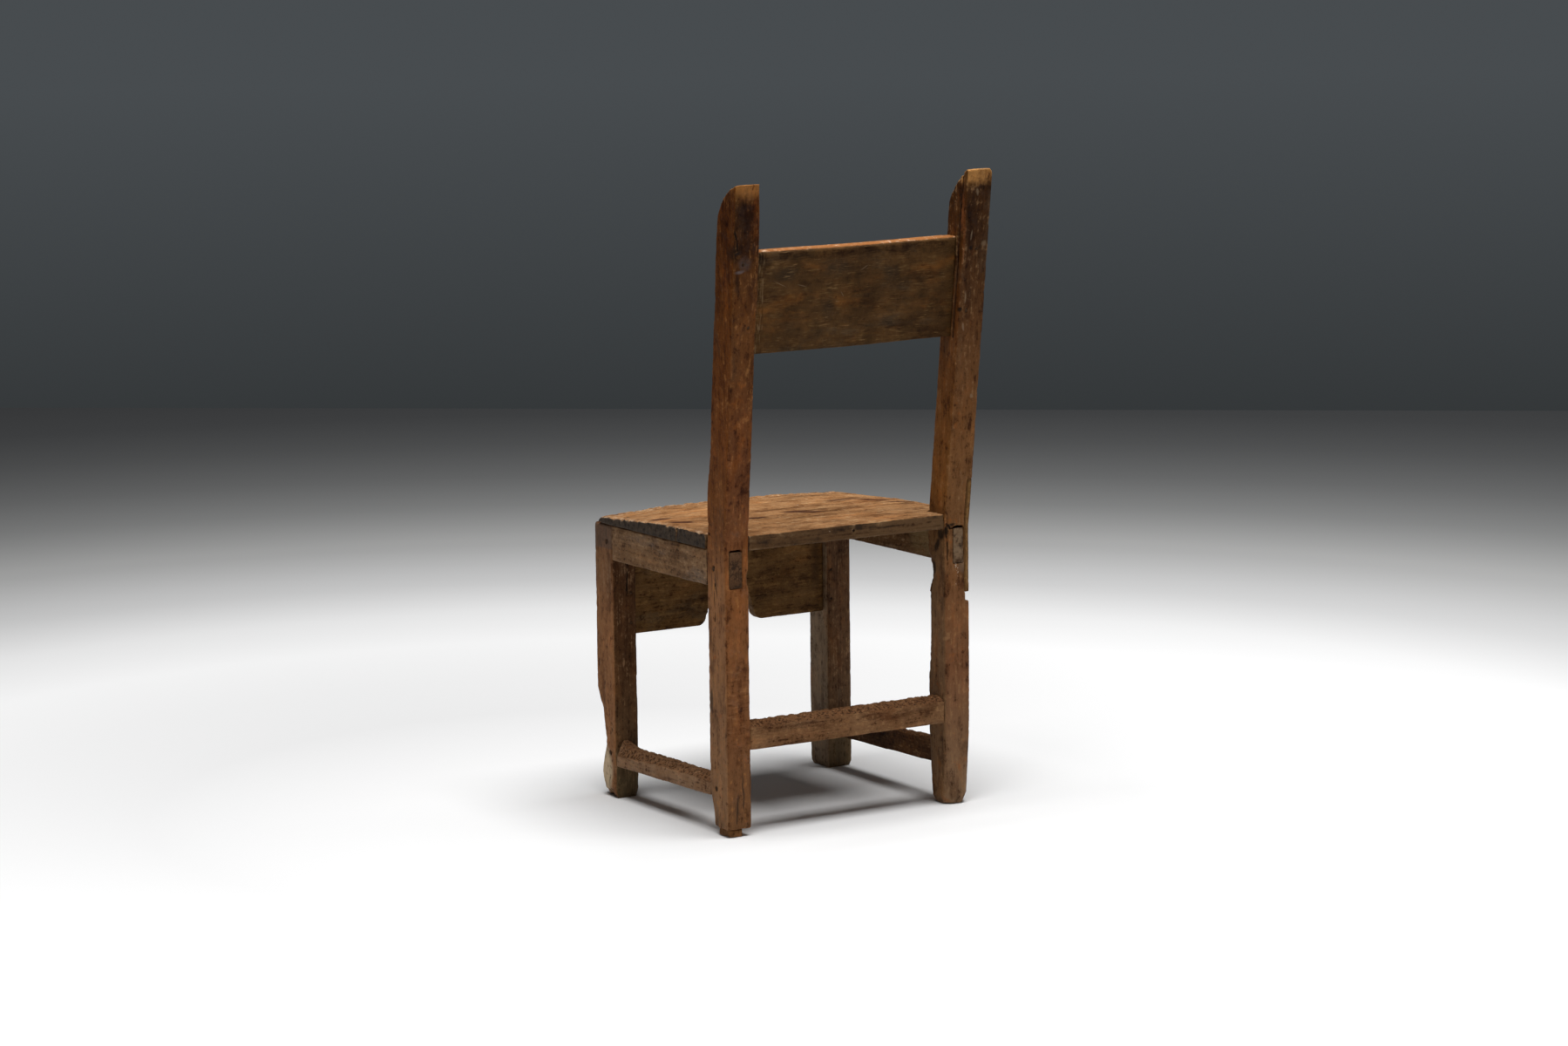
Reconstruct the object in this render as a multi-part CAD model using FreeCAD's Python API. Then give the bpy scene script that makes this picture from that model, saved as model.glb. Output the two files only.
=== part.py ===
import FreeCAD, Part
import os

Vector = FreeCAD.Vector

# An old joined chair: two tall rear posts, two front legs, a raked back panel, a two-board
# seat, side rails with through tenons, a deep front apron and three low stretchers.
# Modelled with +X to the sitter's left, +Y to the back and +Z up, in millimetres, about the
# centre of the legs' footprint, and moved at the end to stand centred on the floor.

LEFT = 1
RIGHT = -1
SIDES = (LEFT, RIGHT)
SIDE_NAMES = {LEFT: "left", RIGHT: "right"}

# Frame of the chair
overall_height = 904.4
left_post_drop = 4.4
frame_width = 404.0
frame_depth = 357.6
seat_underside = 397.0
post_rake = 54.5
left_post_splay = 7.7
right_post_splay = 6.2

# Rear posts
left_post_width = 39.0
right_post_width = 42.0
left_post_depth = 48.0
right_post_depth = 44.0
arris_wear = 2.0
crown_drop = 50.0
crown_mid_run_share = 0.66
crown_mid_drop_share = 0.36
crown_flat = 3.0
panel_groove_width = 5.0
panel_groove_depth = 4.0

# Worn foot of the right rear post
worn_foot_height = 110.0
worn_foot_wear = 10.0
worn_foot_toe = 10.0
worn_foot_inset = 4.0

# Block under the short left rear post
foot_block_height = 10.8
foot_block_width = 21.5
foot_block_depth = 32.0
foot_block_setback = 4.5
foot_block_wear = 3.0
foot_nail_diameter = 4.0
foot_nail_length = 34.0

# Repair strip let into the back outer edge of the right rear post
strip_width = 9.0
strip_depth = 18.0
strip_low = 304.0
strip_high = 466.0
strip_notch_height = 13.0
strip_notch_width = 6.5

# Front legs
left_leg_width = 39.0
right_leg_width = 42.0
leg_depth = 50.0
leg_toe = 8.0
leg_toe_inset = 2.5

# Rotted front outer corner of the left leg: share of the leg's height, share of its depth
left_leg_rot_shares = [
    (0.00, 0.48),
    (0.04, 0.33),
    (0.085, 0.23),
    (0.137, 0.35),
    (0.187, 0.50),
    (0.25, 0.43),
    (0.33, 0.31),
    (0.358, 0.17),
    (0.40, 0.04),
    (1.00, 0.04),
]
rot_width_share = 0.63

# Back panel, barefaced at its back, tenoned and pegged into the posts
panel_drop = 95.9
panel_height = 141.0
panel_thickness = 26.0
panel_setback = 16.0
panel_back_round = 6.0
panel_front_round = 4.0
panel_tenon_thickness = 9.0
panel_tenon_length = 30.0
panel_tenon_shoulder = 12.0

# Side rails, flush with the outer faces, tenons barefaced on the inside
rail_height = 50.4
rail_thickness = 27.5
left_rail_shoulder = 7.5
right_rail_shoulder = 10.2
rail_front_tenon_length = 30.0
rail_mortise_gap = 3.0

# Front apron
apron_height = 162.0
apron_thickness = 20.0
apron_setback = 20.8
apron_tenon_thickness = 9.0
apron_tenon_length = 27.0
apron_tenon_height = 96.0
apron_tenon_rise = 10.0
arch_radius = 37.5
arch_shoulder = 3.5
arch_cusp_width = 12.0
arch_cusp_height = 15.0
arch_spring_step = 3.0
cusp_bulge_share = 0.30

# Rear stretcher
rear_stretcher_low = 119.0
rear_stretcher_height = 39.0
rear_stretcher_thickness = 31.0
rear_stretcher_recess = 2.0
rear_stretcher_bevel_drop = 6.0
rear_stretcher_bevel_run = 15.0

# Side stretchers: share of the length between leg and post, then the heights of the crest
# and of the worn outer arris as shares of the stretcher's own height
side_stretcher_low = 50.0
side_stretcher_height = 38.0
side_stretcher_thickness = 26.0
side_stretcher_inset = 1.0
side_stretcher_tilt = 5.0
stretcher_wear_shares = {
    LEFT: [(0.0, 1.00, 0.42), (0.1, 0.79, 0.45), (0.5, 0.78, 0.58), (1.0, 0.74, 0.52)],
    RIGHT: [(0.0, 1.00, 0.80), (0.3, 0.92, 0.70), (0.7, 0.90, 0.72), (1.0, 1.00, 0.84)],
}
stretcher_crest_inner_share = 0.25
stretcher_crest_outer_share = 0.55

# Stretcher tenons, blind
stretcher_tenon_thickness = 11.0
stretcher_tenon_height = 22.0
stretcher_tenon_length = 28.0
stretcher_tenon_rise = 4.0

# Seat boards
seat_thickness = 21.0
seat_front_setback = 12.8
seat_left_overhang = 2.0
seat_right_setback = 6.0
seat_joint_setback = 126.8
seat_joint_gap = 0.8
seat_notch_gap = 0.6
seat_edge_run = 6.0
seat_edge_drop = 6.0

# Dip of the front board, as shares of the seat's thickness: drop of its front edge and of its
# middle along the whole board, and at its two ends, where the extra wear starts further in
seat_dip_shares = (0.25, 0.12)
seat_end_dip_shares = {LEFT: (0.54, 0.29), RIGHT: (0.50, 0.27)}
seat_end_wear_length = 112.0
seat_end_wear_setback = 24.0

# Wooden pegs and iron nails
peg_diameter = 7.0
peg_length = 34.0
panel_peg_diameter = 5.0
panel_peg_length = 30.0
apron_peg_diameter = 4.5
rear_stretcher_peg_end_setback = 6.0
rail_peg_setback = 16.8
stretcher_peg_setback = 8.8
apron_peg_setback = 8.5
upper_panel_peg_setback = 23.0
lower_panel_peg_setback = 12.0
panel_peg_height_shares = (0.89, 0.28)
apron_peg_height_shares = (0.54, 0.09)
seat_nail_diameter = 3.4
seat_nail_head = 7.5
seat_nail_head_height = 2.0
seat_nail_length = 42.0

# Seat nails: share of the seat's depth from its front edge, share of the thickness that
# the head's top stands above the underside
seat_nail_shares = [(0.16, 0.50), (0.47, 0.82), (0.70, 0.92), (0.82, 0.92)]

# Clearances and the overrun of cutting shapes
joint_clearance = 0.15
peg_clearance = 0.05
overrun = 20.0

# Places worked out from the sizes above
half_width = frame_width / 2
half_depth = frame_depth / 2
post_splay = {LEFT: left_post_splay, RIGHT: right_post_splay}
post_width = {LEFT: left_post_width, RIGHT: right_post_width}
post_depth = {LEFT: left_post_depth, RIGHT: right_post_depth}
leg_width = {LEFT: left_leg_width, RIGHT: right_leg_width}
rail_shoulder = {LEFT: left_rail_shoulder, RIGHT: right_rail_shoulder}
panel_high = overall_height - panel_drop
panel_low = panel_high - panel_height
rail_low = seat_underside - rail_height
apron_low = seat_underside - apron_height
post_foot = {LEFT: foot_block_height, RIGHT: 0.0}
post_top = {LEFT: overall_height - left_post_drop, RIGHT: overall_height}
leg_back = leg_depth - half_depth
seat_front = seat_front_setback - half_depth
seat_joint = half_depth - seat_joint_setback
seat_left = half_width + seat_left_overhang
seat_right = seat_right_setback - half_width
leg_inner = {side: side * (half_width - leg_width[side]) for side in SIDES}


def lean_share(z):
    """How far up the raked part of the posts a height lies."""
    return max(0.0, (z - seat_underside) / (overall_height - seat_underside))


def outer_x(side, z):
    """Outer face of a rear post."""
    return side * (half_width + post_splay[side] * lean_share(z))


def inner_x(side, z):
    """Inner face of a rear post."""
    return outer_x(side, z) - side * post_width[side]


def back_y(z):
    """Back face of both rear posts."""
    return half_depth + post_rake * lean_share(z)


def front_y(side, z):
    """Front face of a rear post."""
    return back_y(z) - post_depth[side]


def ring(x_span, y_span, z, cuts=None, inset=0.0):
    """One level outline of an upright piece, its corners cut by (x, y) pairs."""
    x_low, x_high = sorted(x_span)
    y_low, y_high = sorted(y_span)
    x_low, x_high = x_low + inset, x_high - inset
    y_low, y_high = y_low + inset, y_high - inset
    if cuts is None:
        points = [(x_low, y_low), (x_high, y_low), (x_high, y_high), (x_low, y_high)]
    else:
        (ax, ay), (bx, by), (cx, cy), (dx, dy) = cuts
        points = [
            (x_low, y_low + ay), (x_low + ax, y_low),
            (x_high - bx, y_low), (x_high, y_low + by),
            (x_high, y_high - cy), (x_high - cx, y_high),
            (x_low + dx, y_high), (x_low, y_high - dy),
        ]
    corners = [Vector(x, y, z) for x, y in points]
    return Part.makePolygon(corners + corners[:1])


def stack(rings):
    """A solid with straight sides through level outlines."""
    return Part.makeLoft(rings, True, True)


def block(x_span, y_span, z_span):
    """A box between two pairs of faces each way."""
    lows = [min(span) for span in (x_span, y_span, z_span)]
    sizes = [abs(span[1] - span[0]) for span in (x_span, y_span, z_span)]
    return Part.makeBox(*sizes, Vector(*lows))


def widened(span, amount):
    """The same span, longer at both ends."""
    return min(span) - amount, max(span) + amount


def round_bar(start, direction, diameter, length):
    """A peg, a nail shank or the hole for one."""
    return Part.makeCylinder(diameter / 2, length, start, direction)


def prism(edges, start_x, end_x):
    """An outline in the plane of Y and Z, carried along X."""
    face = Part.Face(Part.Wire(edges))
    face.translate(Vector(start_x, 0, 0))
    return face.extrude(Vector(end_x - start_x, 0, 0))


def even_cuts(wear):
    """The same wear on all four arrises."""
    return [(wear, wear)] * 4


# Rear posts

def post_blank(side):
    """Square post, upright to the seat and raked back above it, with worn arrises."""
    foot = post_foot[side]
    if side == RIGHT:
        levels = [
            (foot, worn_foot_wear, worn_foot_inset),
            (foot + worn_foot_toe, worn_foot_wear, 0.0),
            (foot + worn_foot_height, arris_wear, 0.0),
        ]
    else:
        levels = [(foot, arris_wear, 0.0)]
    levels += [(seat_underside, arris_wear, 0.0), (post_top[side], arris_wear, 0.0)]
    rings = []
    for z, wear, inset in levels:
        x_span = (inner_x(side, z), outer_x(side, z))
        y_span = (front_y(side, z), back_y(z))
        rings.append(ring(x_span, y_span, z, even_cuts(wear), inset))
    return stack(rings)


def crown_cutter(side):
    """What is rounded away from the front of a post's top."""
    top = post_top[side]
    low = post_top[LEFT] - crown_drop
    start = Vector(0, back_y(top) - crown_flat, top)
    mid_run = post_depth[side] * crown_mid_run_share
    mid_drop = (top - low) * crown_mid_drop_share
    middle = Vector(0, back_y(top) - mid_run, top - mid_drop)
    end = Vector(0, front_y(side, low), low)
    clear_end = end - Vector(0, overrun, 0)
    clear_top = Vector(0, clear_end.y, top + overrun)
    clear_start = Vector(0, start.y, top + overrun)
    edges = [
        Part.Arc(start, middle, end).toShape(),
        Part.makeLine(end, clear_end),
        Part.makeLine(clear_end, clear_top),
        Part.makeLine(clear_top, clear_start),
        Part.makeLine(clear_start, start),
    ]
    x_span = widened((inner_x(side, top), outer_x(side, top)), overrun)
    return prism(edges, x_span[0], x_span[1])


def panel_groove(side):
    """Shallow ploughed groove behind the panel's back face, open at the post's top."""
    rings = []
    for z in (panel_low, overall_height + overrun):
        lean = (z - seat_underside) / (overall_height - seat_underside)
        face_x = side * (half_width + post_splay[side] * lean - post_width[side])
        face_y = half_depth + post_rake * lean - panel_setback
        x_span = (face_x - side * overrun, face_x + side * panel_groove_depth)
        rings.append(ring(x_span, (face_y, face_y + panel_groove_width), z))
    return stack(rings)


def strip_shape():
    """Strip that follows the post's bend at the seat."""
    rings = []
    for z in (strip_low, seat_underside, strip_high):
        outer = outer_x(RIGHT, z)
        x_span = (outer, outer - RIGHT * strip_width)
        y_span = (back_y(z) - strip_depth, back_y(z))
        rings.append(ring(x_span, y_span, z))
    return stack(rings)


def strip_notch():
    """Gap left open under the strip, where its old bed has broken out."""
    outer = outer_x(RIGHT, strip_low)
    x_span = (outer + RIGHT * overrun, outer - RIGHT * strip_notch_width)
    y_span = (half_depth - strip_depth, half_depth + overrun)
    return block(x_span, y_span, (strip_low - strip_notch_height, strip_low))


def rear_post(side):
    post = post_blank(side)
    cutters = [crown_cutter(side), panel_groove(side), panel_tenon(joint_clearance)]
    cutters.append(rail_tenon_rear(side, joint_clearance))
    cutters.append(rear_stretcher_tenon(joint_clearance))
    cutters.append(side_stretcher_tenon_rear(side, joint_clearance))
    cutters += rail_peg_bars(side, peg_clearance)
    cutters += stretcher_peg_bars(side, peg_clearance)
    cutters += panel_peg_bars(side, peg_clearance)
    if side == RIGHT:
        cutters += [strip_shape(), strip_notch()]
    else:
        cutters.append(foot_nail_bar(peg_clearance))
    return post.cut(cutters)


def repair_strip():
    """The strip itself, worn like the arris that it restores."""
    return strip_shape().common(post_blank(RIGHT))


# Block under the left rear post

def foot_block():
    x_high = half_width - foot_block_setback
    y_high = half_depth - arris_wear
    x_span = (x_high - foot_block_width, x_high)
    y_span = (y_high - foot_block_depth, y_high)
    rings = [
        ring(x_span, y_span, 0.0, even_cuts(foot_block_wear)),
        ring(x_span, y_span, foot_block_height, even_cuts(foot_block_wear)),
    ]
    return stack(rings).cut(foot_nail_bar(peg_clearance))


def foot_nail_bar(clearance):
    """The nail that holds the block, driven up from below and sunk in it."""
    x = half_width - foot_block_setback - foot_block_width / 2
    y = half_depth - arris_wear - foot_block_depth / 2
    start = Vector(x, y, foot_nail_diameter - clearance)
    length = foot_nail_length + 2 * clearance
    return round_bar(start, Vector(0, 0, 1), foot_nail_diameter + 2 * clearance, length)


# Front legs

def leg_cuts(side, height_share_wear):
    """Arris wear, with the rot on the front outer corner of the left leg."""
    cuts = even_cuts(arris_wear)
    if side == LEFT:
        rot = leg_depth * height_share_wear
        cuts[1] = (rot * rot_width_share, rot)
    return cuts


def front_leg_blank(side):
    x_span = (leg_inner[side], side * half_width)
    y_span = (-half_depth, leg_back)
    if side == LEFT:
        levels = [(share * seat_underside, rot) for share, rot in left_leg_rot_shares]
    else:
        levels = [(0.0, 0.0), (leg_toe, 0.0), (seat_underside, 0.0)]
    rings = []
    for z, rot in levels:
        inset = leg_toe_inset if z == 0.0 else 0.0
        rings.append(ring(x_span, y_span, z, leg_cuts(side, rot), inset))
    return stack(rings)


def front_leg(side):
    cutters = [rail_tenon_front(side, joint_clearance), apron_tenon(joint_clearance)]
    cutters.append(side_stretcher_tenon_front(side, joint_clearance))
    cutters += rail_peg_bars(side, peg_clearance)
    cutters += stretcher_peg_bars(side, peg_clearance)
    cutters += apron_peg_bars(side, peg_clearance)
    return front_leg_blank(side).cut(cutters)


# Back panel

def between_posts(reach, y_offsets, z_span):
    """A raked board between the posts' inner faces, or reaching into them."""
    rings = []
    for z in z_span:
        x_span = (inner_x(RIGHT, z) - reach, inner_x(LEFT, z) + reach)
        y_span = [back_y(z) - offset for offset in y_offsets]
        rings.append(ring(x_span, y_span, z))
    return stack(rings)


def panel_tenon(clearance):
    near = panel_setback + (panel_thickness - panel_tenon_thickness) / 2
    offsets = widened((near, near + panel_tenon_thickness), clearance)
    heights = (panel_low + panel_tenon_shoulder, panel_high - panel_tenon_shoulder)
    return between_posts(panel_tenon_length + clearance, offsets, widened(heights, clearance))


def top_edges(shape, z, y):
    """Long edges of a board's top, those nearest a place in Y."""
    level = [edge for edge in shape.Edges if abs(edge.CenterOfMass.z - z) < joint_clearance]
    long_ones = [edge for edge in level if edge.Length > frame_width / 2]
    return [min(long_ones, key=lambda edge: abs(edge.CenterOfMass.y - y))]


def back_panel():
    offsets = (panel_setback, panel_setback + panel_thickness)
    board = between_posts(0.0, offsets, (panel_low, panel_high))
    back = top_edges(board, panel_high, back_y(panel_high))
    board = board.makeFillet(panel_back_round, back)
    front = top_edges(board, panel_high, front_y(LEFT, panel_high))
    board = board.makeFillet(panel_front_round, front)
    panel = board.fuse(panel_tenon(0.0)).removeSplitter()
    bars = panel_peg_bars(LEFT, peg_clearance) + panel_peg_bars(RIGHT, peg_clearance)
    return panel.cut(bars)


# Side rails

def rail_tenon_span(side):
    """Across the rail: bare at the inner face, shouldered at the outer."""
    outer = side * (half_width - rail_shoulder[side])
    inner = side * (half_width - rail_thickness)
    return inner, outer


def rail_tenon_rear(side, clearance):
    """Through tenon; its mortise is cut higher than the tenon."""
    x_span = widened(rail_tenon_span(side), clearance)
    y_span = (half_depth - post_depth[side] - clearance, half_depth)
    high = seat_underside
    if clearance:
        y_span = widened(y_span, overrun)
        high += rail_mortise_gap
    return block(x_span, y_span, (rail_low - clearance, high))


def rail_tenon_front(side, clearance):
    x_span = widened(rail_tenon_span(side), clearance)
    y_span = (leg_back - rail_front_tenon_length - clearance, leg_back + clearance)
    return block(x_span, y_span, (rail_low - clearance, seat_underside))


def side_rail(side):
    x_span = (side * half_width, side * (half_width - rail_thickness))
    y_span = (leg_back, half_depth - post_depth[side])
    rail = block(x_span, y_span, (rail_low, seat_underside))
    rail = rail.fuse([rail_tenon_rear(side, 0.0), rail_tenon_front(side, 0.0)])
    bars = rail_peg_bars(side, peg_clearance) + seat_nail_bars(peg_clearance)
    return rail.removeSplitter().cut(bars)


# Front apron

def apron_tenon(clearance):
    """Blind tenons on both ends, kept below the side rails' tenons."""
    y_front = apron_setback - half_depth + (apron_thickness - apron_tenon_thickness) / 2
    y_span = widened((y_front, y_front + apron_tenon_thickness), clearance)
    z_low = apron_low + apron_tenon_rise
    z_span = widened((z_low, z_low + apron_tenon_height), clearance)
    reach = apron_tenon_length + clearance
    return block((leg_inner[RIGHT] - reach, leg_inner[LEFT] + reach), y_span, z_span)


def arch_cutter():
    """Round arch in the lower edge, with a small rounded cusp at each foot."""
    step = arch_radius + arch_shoulder
    mouth = step + arch_cusp_width
    spring = apron_low + arch_cusp_height + arch_spring_step
    cusp_z = apron_low + arch_cusp_height
    bulge_x = step + arch_cusp_width * cusp_bulge_share
    bulge_z = apron_low + arch_cusp_height * cusp_bulge_share
    y = -half_depth

    def half(sign):
        foot = Vector(sign * mouth, y, apron_low)
        bend = Vector(sign * bulge_x, y, bulge_z)
        cusp = Vector(sign * step, y, cusp_z)
        shoulder = Vector(sign * arch_radius, y, spring)
        return foot, bend, cusp, shoulder

    left, right = half(LEFT), half(RIGHT)
    crown = Vector(0, y, spring + arch_radius)
    below = Vector(0, 0, overrun)
    edges = [
        Part.makeLine(left[0] - below, left[0]),
        Part.Arc(left[0], left[1], left[2]).toShape(),
        Part.makeLine(left[2], left[3]),
        Part.Arc(left[3], crown, right[3]).toShape(),
        Part.makeLine(right[3], right[2]),
        Part.Arc(right[2], right[1], right[0]).toShape(),
        Part.makeLine(right[0], right[0] - below),
        Part.makeLine(right[0] - below, left[0] - below),
    ]
    return Part.Face(Part.Wire(edges)).extrude(Vector(0, leg_depth, 0))


def front_apron():
    y_front = apron_setback - half_depth
    y_span = (y_front, y_front + apron_thickness)
    x_span = (leg_inner[RIGHT], leg_inner[LEFT])
    board = block(x_span, y_span, (apron_low, seat_underside))
    board = board.fuse(apron_tenon(0.0)).removeSplitter()
    bars = apron_peg_bars(LEFT, peg_clearance) + apron_peg_bars(RIGHT, peg_clearance)
    return board.cut([arch_cutter()] + bars)


# Stretchers

def rear_stretcher_tenon(clearance):
    y_back = half_depth - rear_stretcher_recess
    y_mid = y_back - rear_stretcher_thickness / 2
    half = stretcher_tenon_thickness / 2 + clearance
    z_low = rear_stretcher_low + stretcher_tenon_rise
    z_span = widened((z_low, z_low + stretcher_tenon_height), clearance)
    reach = stretcher_tenon_length + clearance
    x_span = (inner_x(RIGHT, 0.0) - reach, inner_x(LEFT, 0.0) + reach)
    return block(x_span, (y_mid - half, y_mid + half), z_span)


def rear_stretcher():
    """Bar with its top back edge worn to a slope."""
    y_back = half_depth - rear_stretcher_recess
    y_front = y_back - rear_stretcher_thickness
    z_high = rear_stretcher_low + rear_stretcher_height
    outline = [
        (y_front, rear_stretcher_low),
        (y_back, rear_stretcher_low),
        (y_back, z_high - rear_stretcher_bevel_drop),
        (y_back - rear_stretcher_bevel_run, z_high),
        (y_front, z_high - arris_wear),
    ]
    corners = [Vector(0, y, z) for y, z in outline]
    edges = [Part.makeLine(a, b) for a, b in zip(corners, corners[1:] + corners[:1])]
    bar = prism(edges, inner_x(RIGHT, 0.0), inner_x(LEFT, 0.0))
    bar = bar.fuse(rear_stretcher_tenon(0.0)).removeSplitter()
    bars = stretcher_peg_bars(LEFT, peg_clearance) + stretcher_peg_bars(RIGHT, peg_clearance)
    return bar.cut(bars)


def side_tenon_block(side, y_span, clearance):
    middle = half_width - side_stretcher_inset - side_stretcher_thickness / 2
    half = stretcher_tenon_thickness / 2 + clearance
    z_low = side_stretcher_low + stretcher_tenon_rise
    z_span = widened((z_low, z_low + stretcher_tenon_height), clearance)
    return block((side * middle - half, side * middle + half), y_span, z_span)


def side_stretcher_tenon_rear(side, clearance):
    shoulder = half_depth - post_depth[side]
    y_span = (shoulder - clearance, shoulder + stretcher_tenon_length + clearance)
    return side_tenon_block(side, y_span, clearance)


def side_stretcher_tenon_front(side, clearance):
    y_span = (leg_back - stretcher_tenon_length - clearance, leg_back + clearance)
    return side_tenon_block(side, y_span, clearance)


def side_stretcher(side):
    """Bar lofted from leg to post, its crest and outer arris worn by feet."""
    outer = side * (half_width - side_stretcher_inset)
    inner = outer - side * side_stretcher_thickness
    y_start = leg_back
    run = half_depth - post_depth[side] - y_start
    rings = []
    for run_share, crest_share, arris_share in stretcher_wear_shares[side]:
        low = side_stretcher_low + side_stretcher_tilt * (run_share - 0.5)
        crest = low + side_stretcher_height * crest_share
        arris = low + side_stretcher_height * arris_share
        crest_in = inner + side * side_stretcher_thickness * stretcher_crest_inner_share
        crest_out = inner + side * side_stretcher_thickness * stretcher_crest_outer_share
        outline = [
            (inner, low), (outer, low), (outer, arris),
            (crest_out, crest), (crest_in, crest), (inner, crest - arris_wear),
        ]
        y = y_start + run * run_share
        corners = [Vector(x, y, z) for x, z in outline]
        rings.append(Part.makePolygon(corners + corners[:1]))
    bar = stack(rings)
    tenons = [side_stretcher_tenon_rear(side, 0.0), side_stretcher_tenon_front(side, 0.0)]
    return bar.fuse(tenons).cut(stretcher_peg_bars(side, peg_clearance))


# Seat boards

def seat_board_rear():
    """Flat board, notched round the rear posts and flush with their back faces."""
    y_span = (seat_joint + seat_joint_gap, half_depth)
    z_span = (seat_underside, seat_underside + seat_thickness)
    board = block((seat_right, seat_left), y_span, z_span)
    notches = []
    for side in SIDES:
        z_top = z_span[1]
        x_span = (inner_x(side, z_top) - side * seat_notch_gap, side * frame_width)
        y_notch = (half_depth - post_depth[side] - seat_notch_gap, half_depth + overrun)
        notches.append(block(x_span, y_notch, widened(z_span, overrun)))
    return board.cut(notches + seat_nail_bars(peg_clearance))


def dip_outline(dip_shares, x, back_y_at, lowered):
    """Outline above the front board of a hollow with a worn lip, closed clear of the board."""
    top = seat_underside + seat_thickness - lowered
    front_share, middle_share = dip_shares
    front_top = top - seat_thickness * front_share
    middle_top = top - seat_thickness * middle_share
    back = Vector(x, back_y_at, top)
    middle = Vector(x, (seat_front + back_y_at) / 2, middle_top)
    lip = Vector(x, seat_front + seat_edge_run, front_top)
    nose = Vector(x, seat_front, front_top - seat_edge_drop)
    clear_nose = nose - Vector(0, overrun, 0)
    clear_top = Vector(x, clear_nose.y, top + overrun)
    clear_back = Vector(x, back_y_at, top + overrun)
    corners = [lip, nose, clear_nose, clear_top, clear_back, back]
    edges = [Part.makeLine(a, b) for a, b in zip(corners, corners[1:])]
    edges.append(Part.Arc(back, middle, lip).toShape())
    return Part.Face(Part.Wire(edges))


def end_wear_cutter(side):
    """Extra hollow that deepens towards one end of the front board."""
    shares = seat_end_dip_shares[side]
    end = {LEFT: seat_left, RIGHT: seat_right}[side]
    slope = seat_thickness * (shares[0] - seat_dip_shares[0]) / seat_end_wear_length
    outline = dip_outline(shares, end + side * overrun, seat_joint - seat_end_wear_setback,
                          slope * overrun)
    length = seat_end_wear_length + overrun
    return outline.extrude(Vector(-side * length, 0, slope * length))


def seat_board_front():
    """Board worn down towards its front edge, most at the two corners."""
    x_span = widened((seat_right, seat_left), overrun)
    board = block((seat_right, seat_left), (seat_front, seat_joint),
                  (seat_underside, seat_underside + seat_thickness))
    hollow = dip_outline(seat_dip_shares, x_span[0], seat_joint, 0.0)
    board = board.cut(hollow.extrude(Vector(x_span[1] - x_span[0], 0, 0)))
    for side in SIDES:
        board = board.cut(end_wear_cutter(side))
    return board.cut(seat_nail_bars(peg_clearance))


# Pegs and nails

def rail_peg_bars(side, clearance):
    """From the outer faces into the rails' tenons, one at each end."""
    z = rail_low + rail_height / 2
    places = (half_depth - post_depth[side] + rail_peg_setback, leg_back - rail_peg_setback)
    diameter = peg_diameter + 2 * clearance
    toward = Vector(-side, 0, 0)
    return [
        round_bar(Vector(side * half_width, y, z), toward, diameter, peg_length + clearance)
        for y in places
    ]


def stretcher_peg_bars(side, clearance):
    """Into the side stretcher's two tenons, and from the post's front into the rear one's."""
    diameter = peg_diameter + 2 * clearance
    length = peg_length + clearance
    rear_length = post_depth[side] - rear_stretcher_peg_end_setback + clearance
    tenon_middle = stretcher_tenon_rise + stretcher_tenon_height / 2
    low_z = side_stretcher_low + tenon_middle
    back_z = rear_stretcher_low + tenon_middle
    post_y = half_depth - post_depth[side] + rail_peg_setback
    leg_y = leg_back - rail_peg_setback
    x = inner_x(side, 0.0) + side * stretcher_peg_setback
    post_front = Vector(x, half_depth - post_depth[side], back_z)
    toward = Vector(-side, 0, 0)
    return [
        round_bar(Vector(side * half_width, post_y, low_z), toward, diameter, length),
        round_bar(Vector(side * half_width, leg_y, low_z), toward, diameter, length),
        round_bar(post_front, Vector(0, 1, 0), diameter, rear_length),
    ]


def apron_peg_bars(side, clearance):
    """From the legs' back faces into the apron's tenon."""
    x = leg_inner[side] + side * apron_peg_setback
    bars = []
    for share in apron_peg_height_shares:
        z = apron_low + apron_tenon_rise + apron_tenon_height * share
        start = Vector(x, leg_back, z)
        diameter = apron_peg_diameter + 2 * clearance
        bars.append(round_bar(start, Vector(0, -1, 0), diameter, peg_length + clearance))
    return bars


def panel_peg_bars(side, clearance):
    """From the posts' back faces into the panel's tenons."""
    bars = []
    setbacks = (upper_panel_peg_setback, lower_panel_peg_setback)
    for setback, share in zip(setbacks, panel_peg_height_shares):
        z = panel_low + panel_height * share
        start = Vector(inner_x(side, z) + side * setback, back_y(z), z)
        diameter = panel_peg_diameter + 2 * clearance
        length = panel_peg_length + clearance
        bars.append(round_bar(start, Vector(0, -1, 0), diameter, length))
    return bars


def seat_nail_bars(clearance):
    """Nails through the boards into the rails, with open recesses over sunk heads."""
    bars = []
    for side in SIDES:
        x = side * (half_width - rail_thickness / 2)
        for depth_share, height_share in seat_nail_shares:
            y = seat_front + (half_depth - seat_front) * depth_share
            head_top = seat_underside + seat_thickness * height_share
            neck = head_top - seat_nail_head_height
            shank = seat_nail_length - seat_nail_head_height
            foot = Vector(x, y, neck - shank)
            nail = round_bar(foot, Vector(0, 0, 1), seat_nail_diameter + 2 * clearance, shank)
            head_length = seat_nail_head_height
            if clearance:
                head_length += seat_thickness
            seat = Vector(x, y, neck - clearance)
            head = round_bar(seat, Vector(0, 0, 1), seat_nail_head + 2 * clearance, head_length)
            bars.append(nail.fuse(head).removeSplitter())
    return bars


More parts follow.
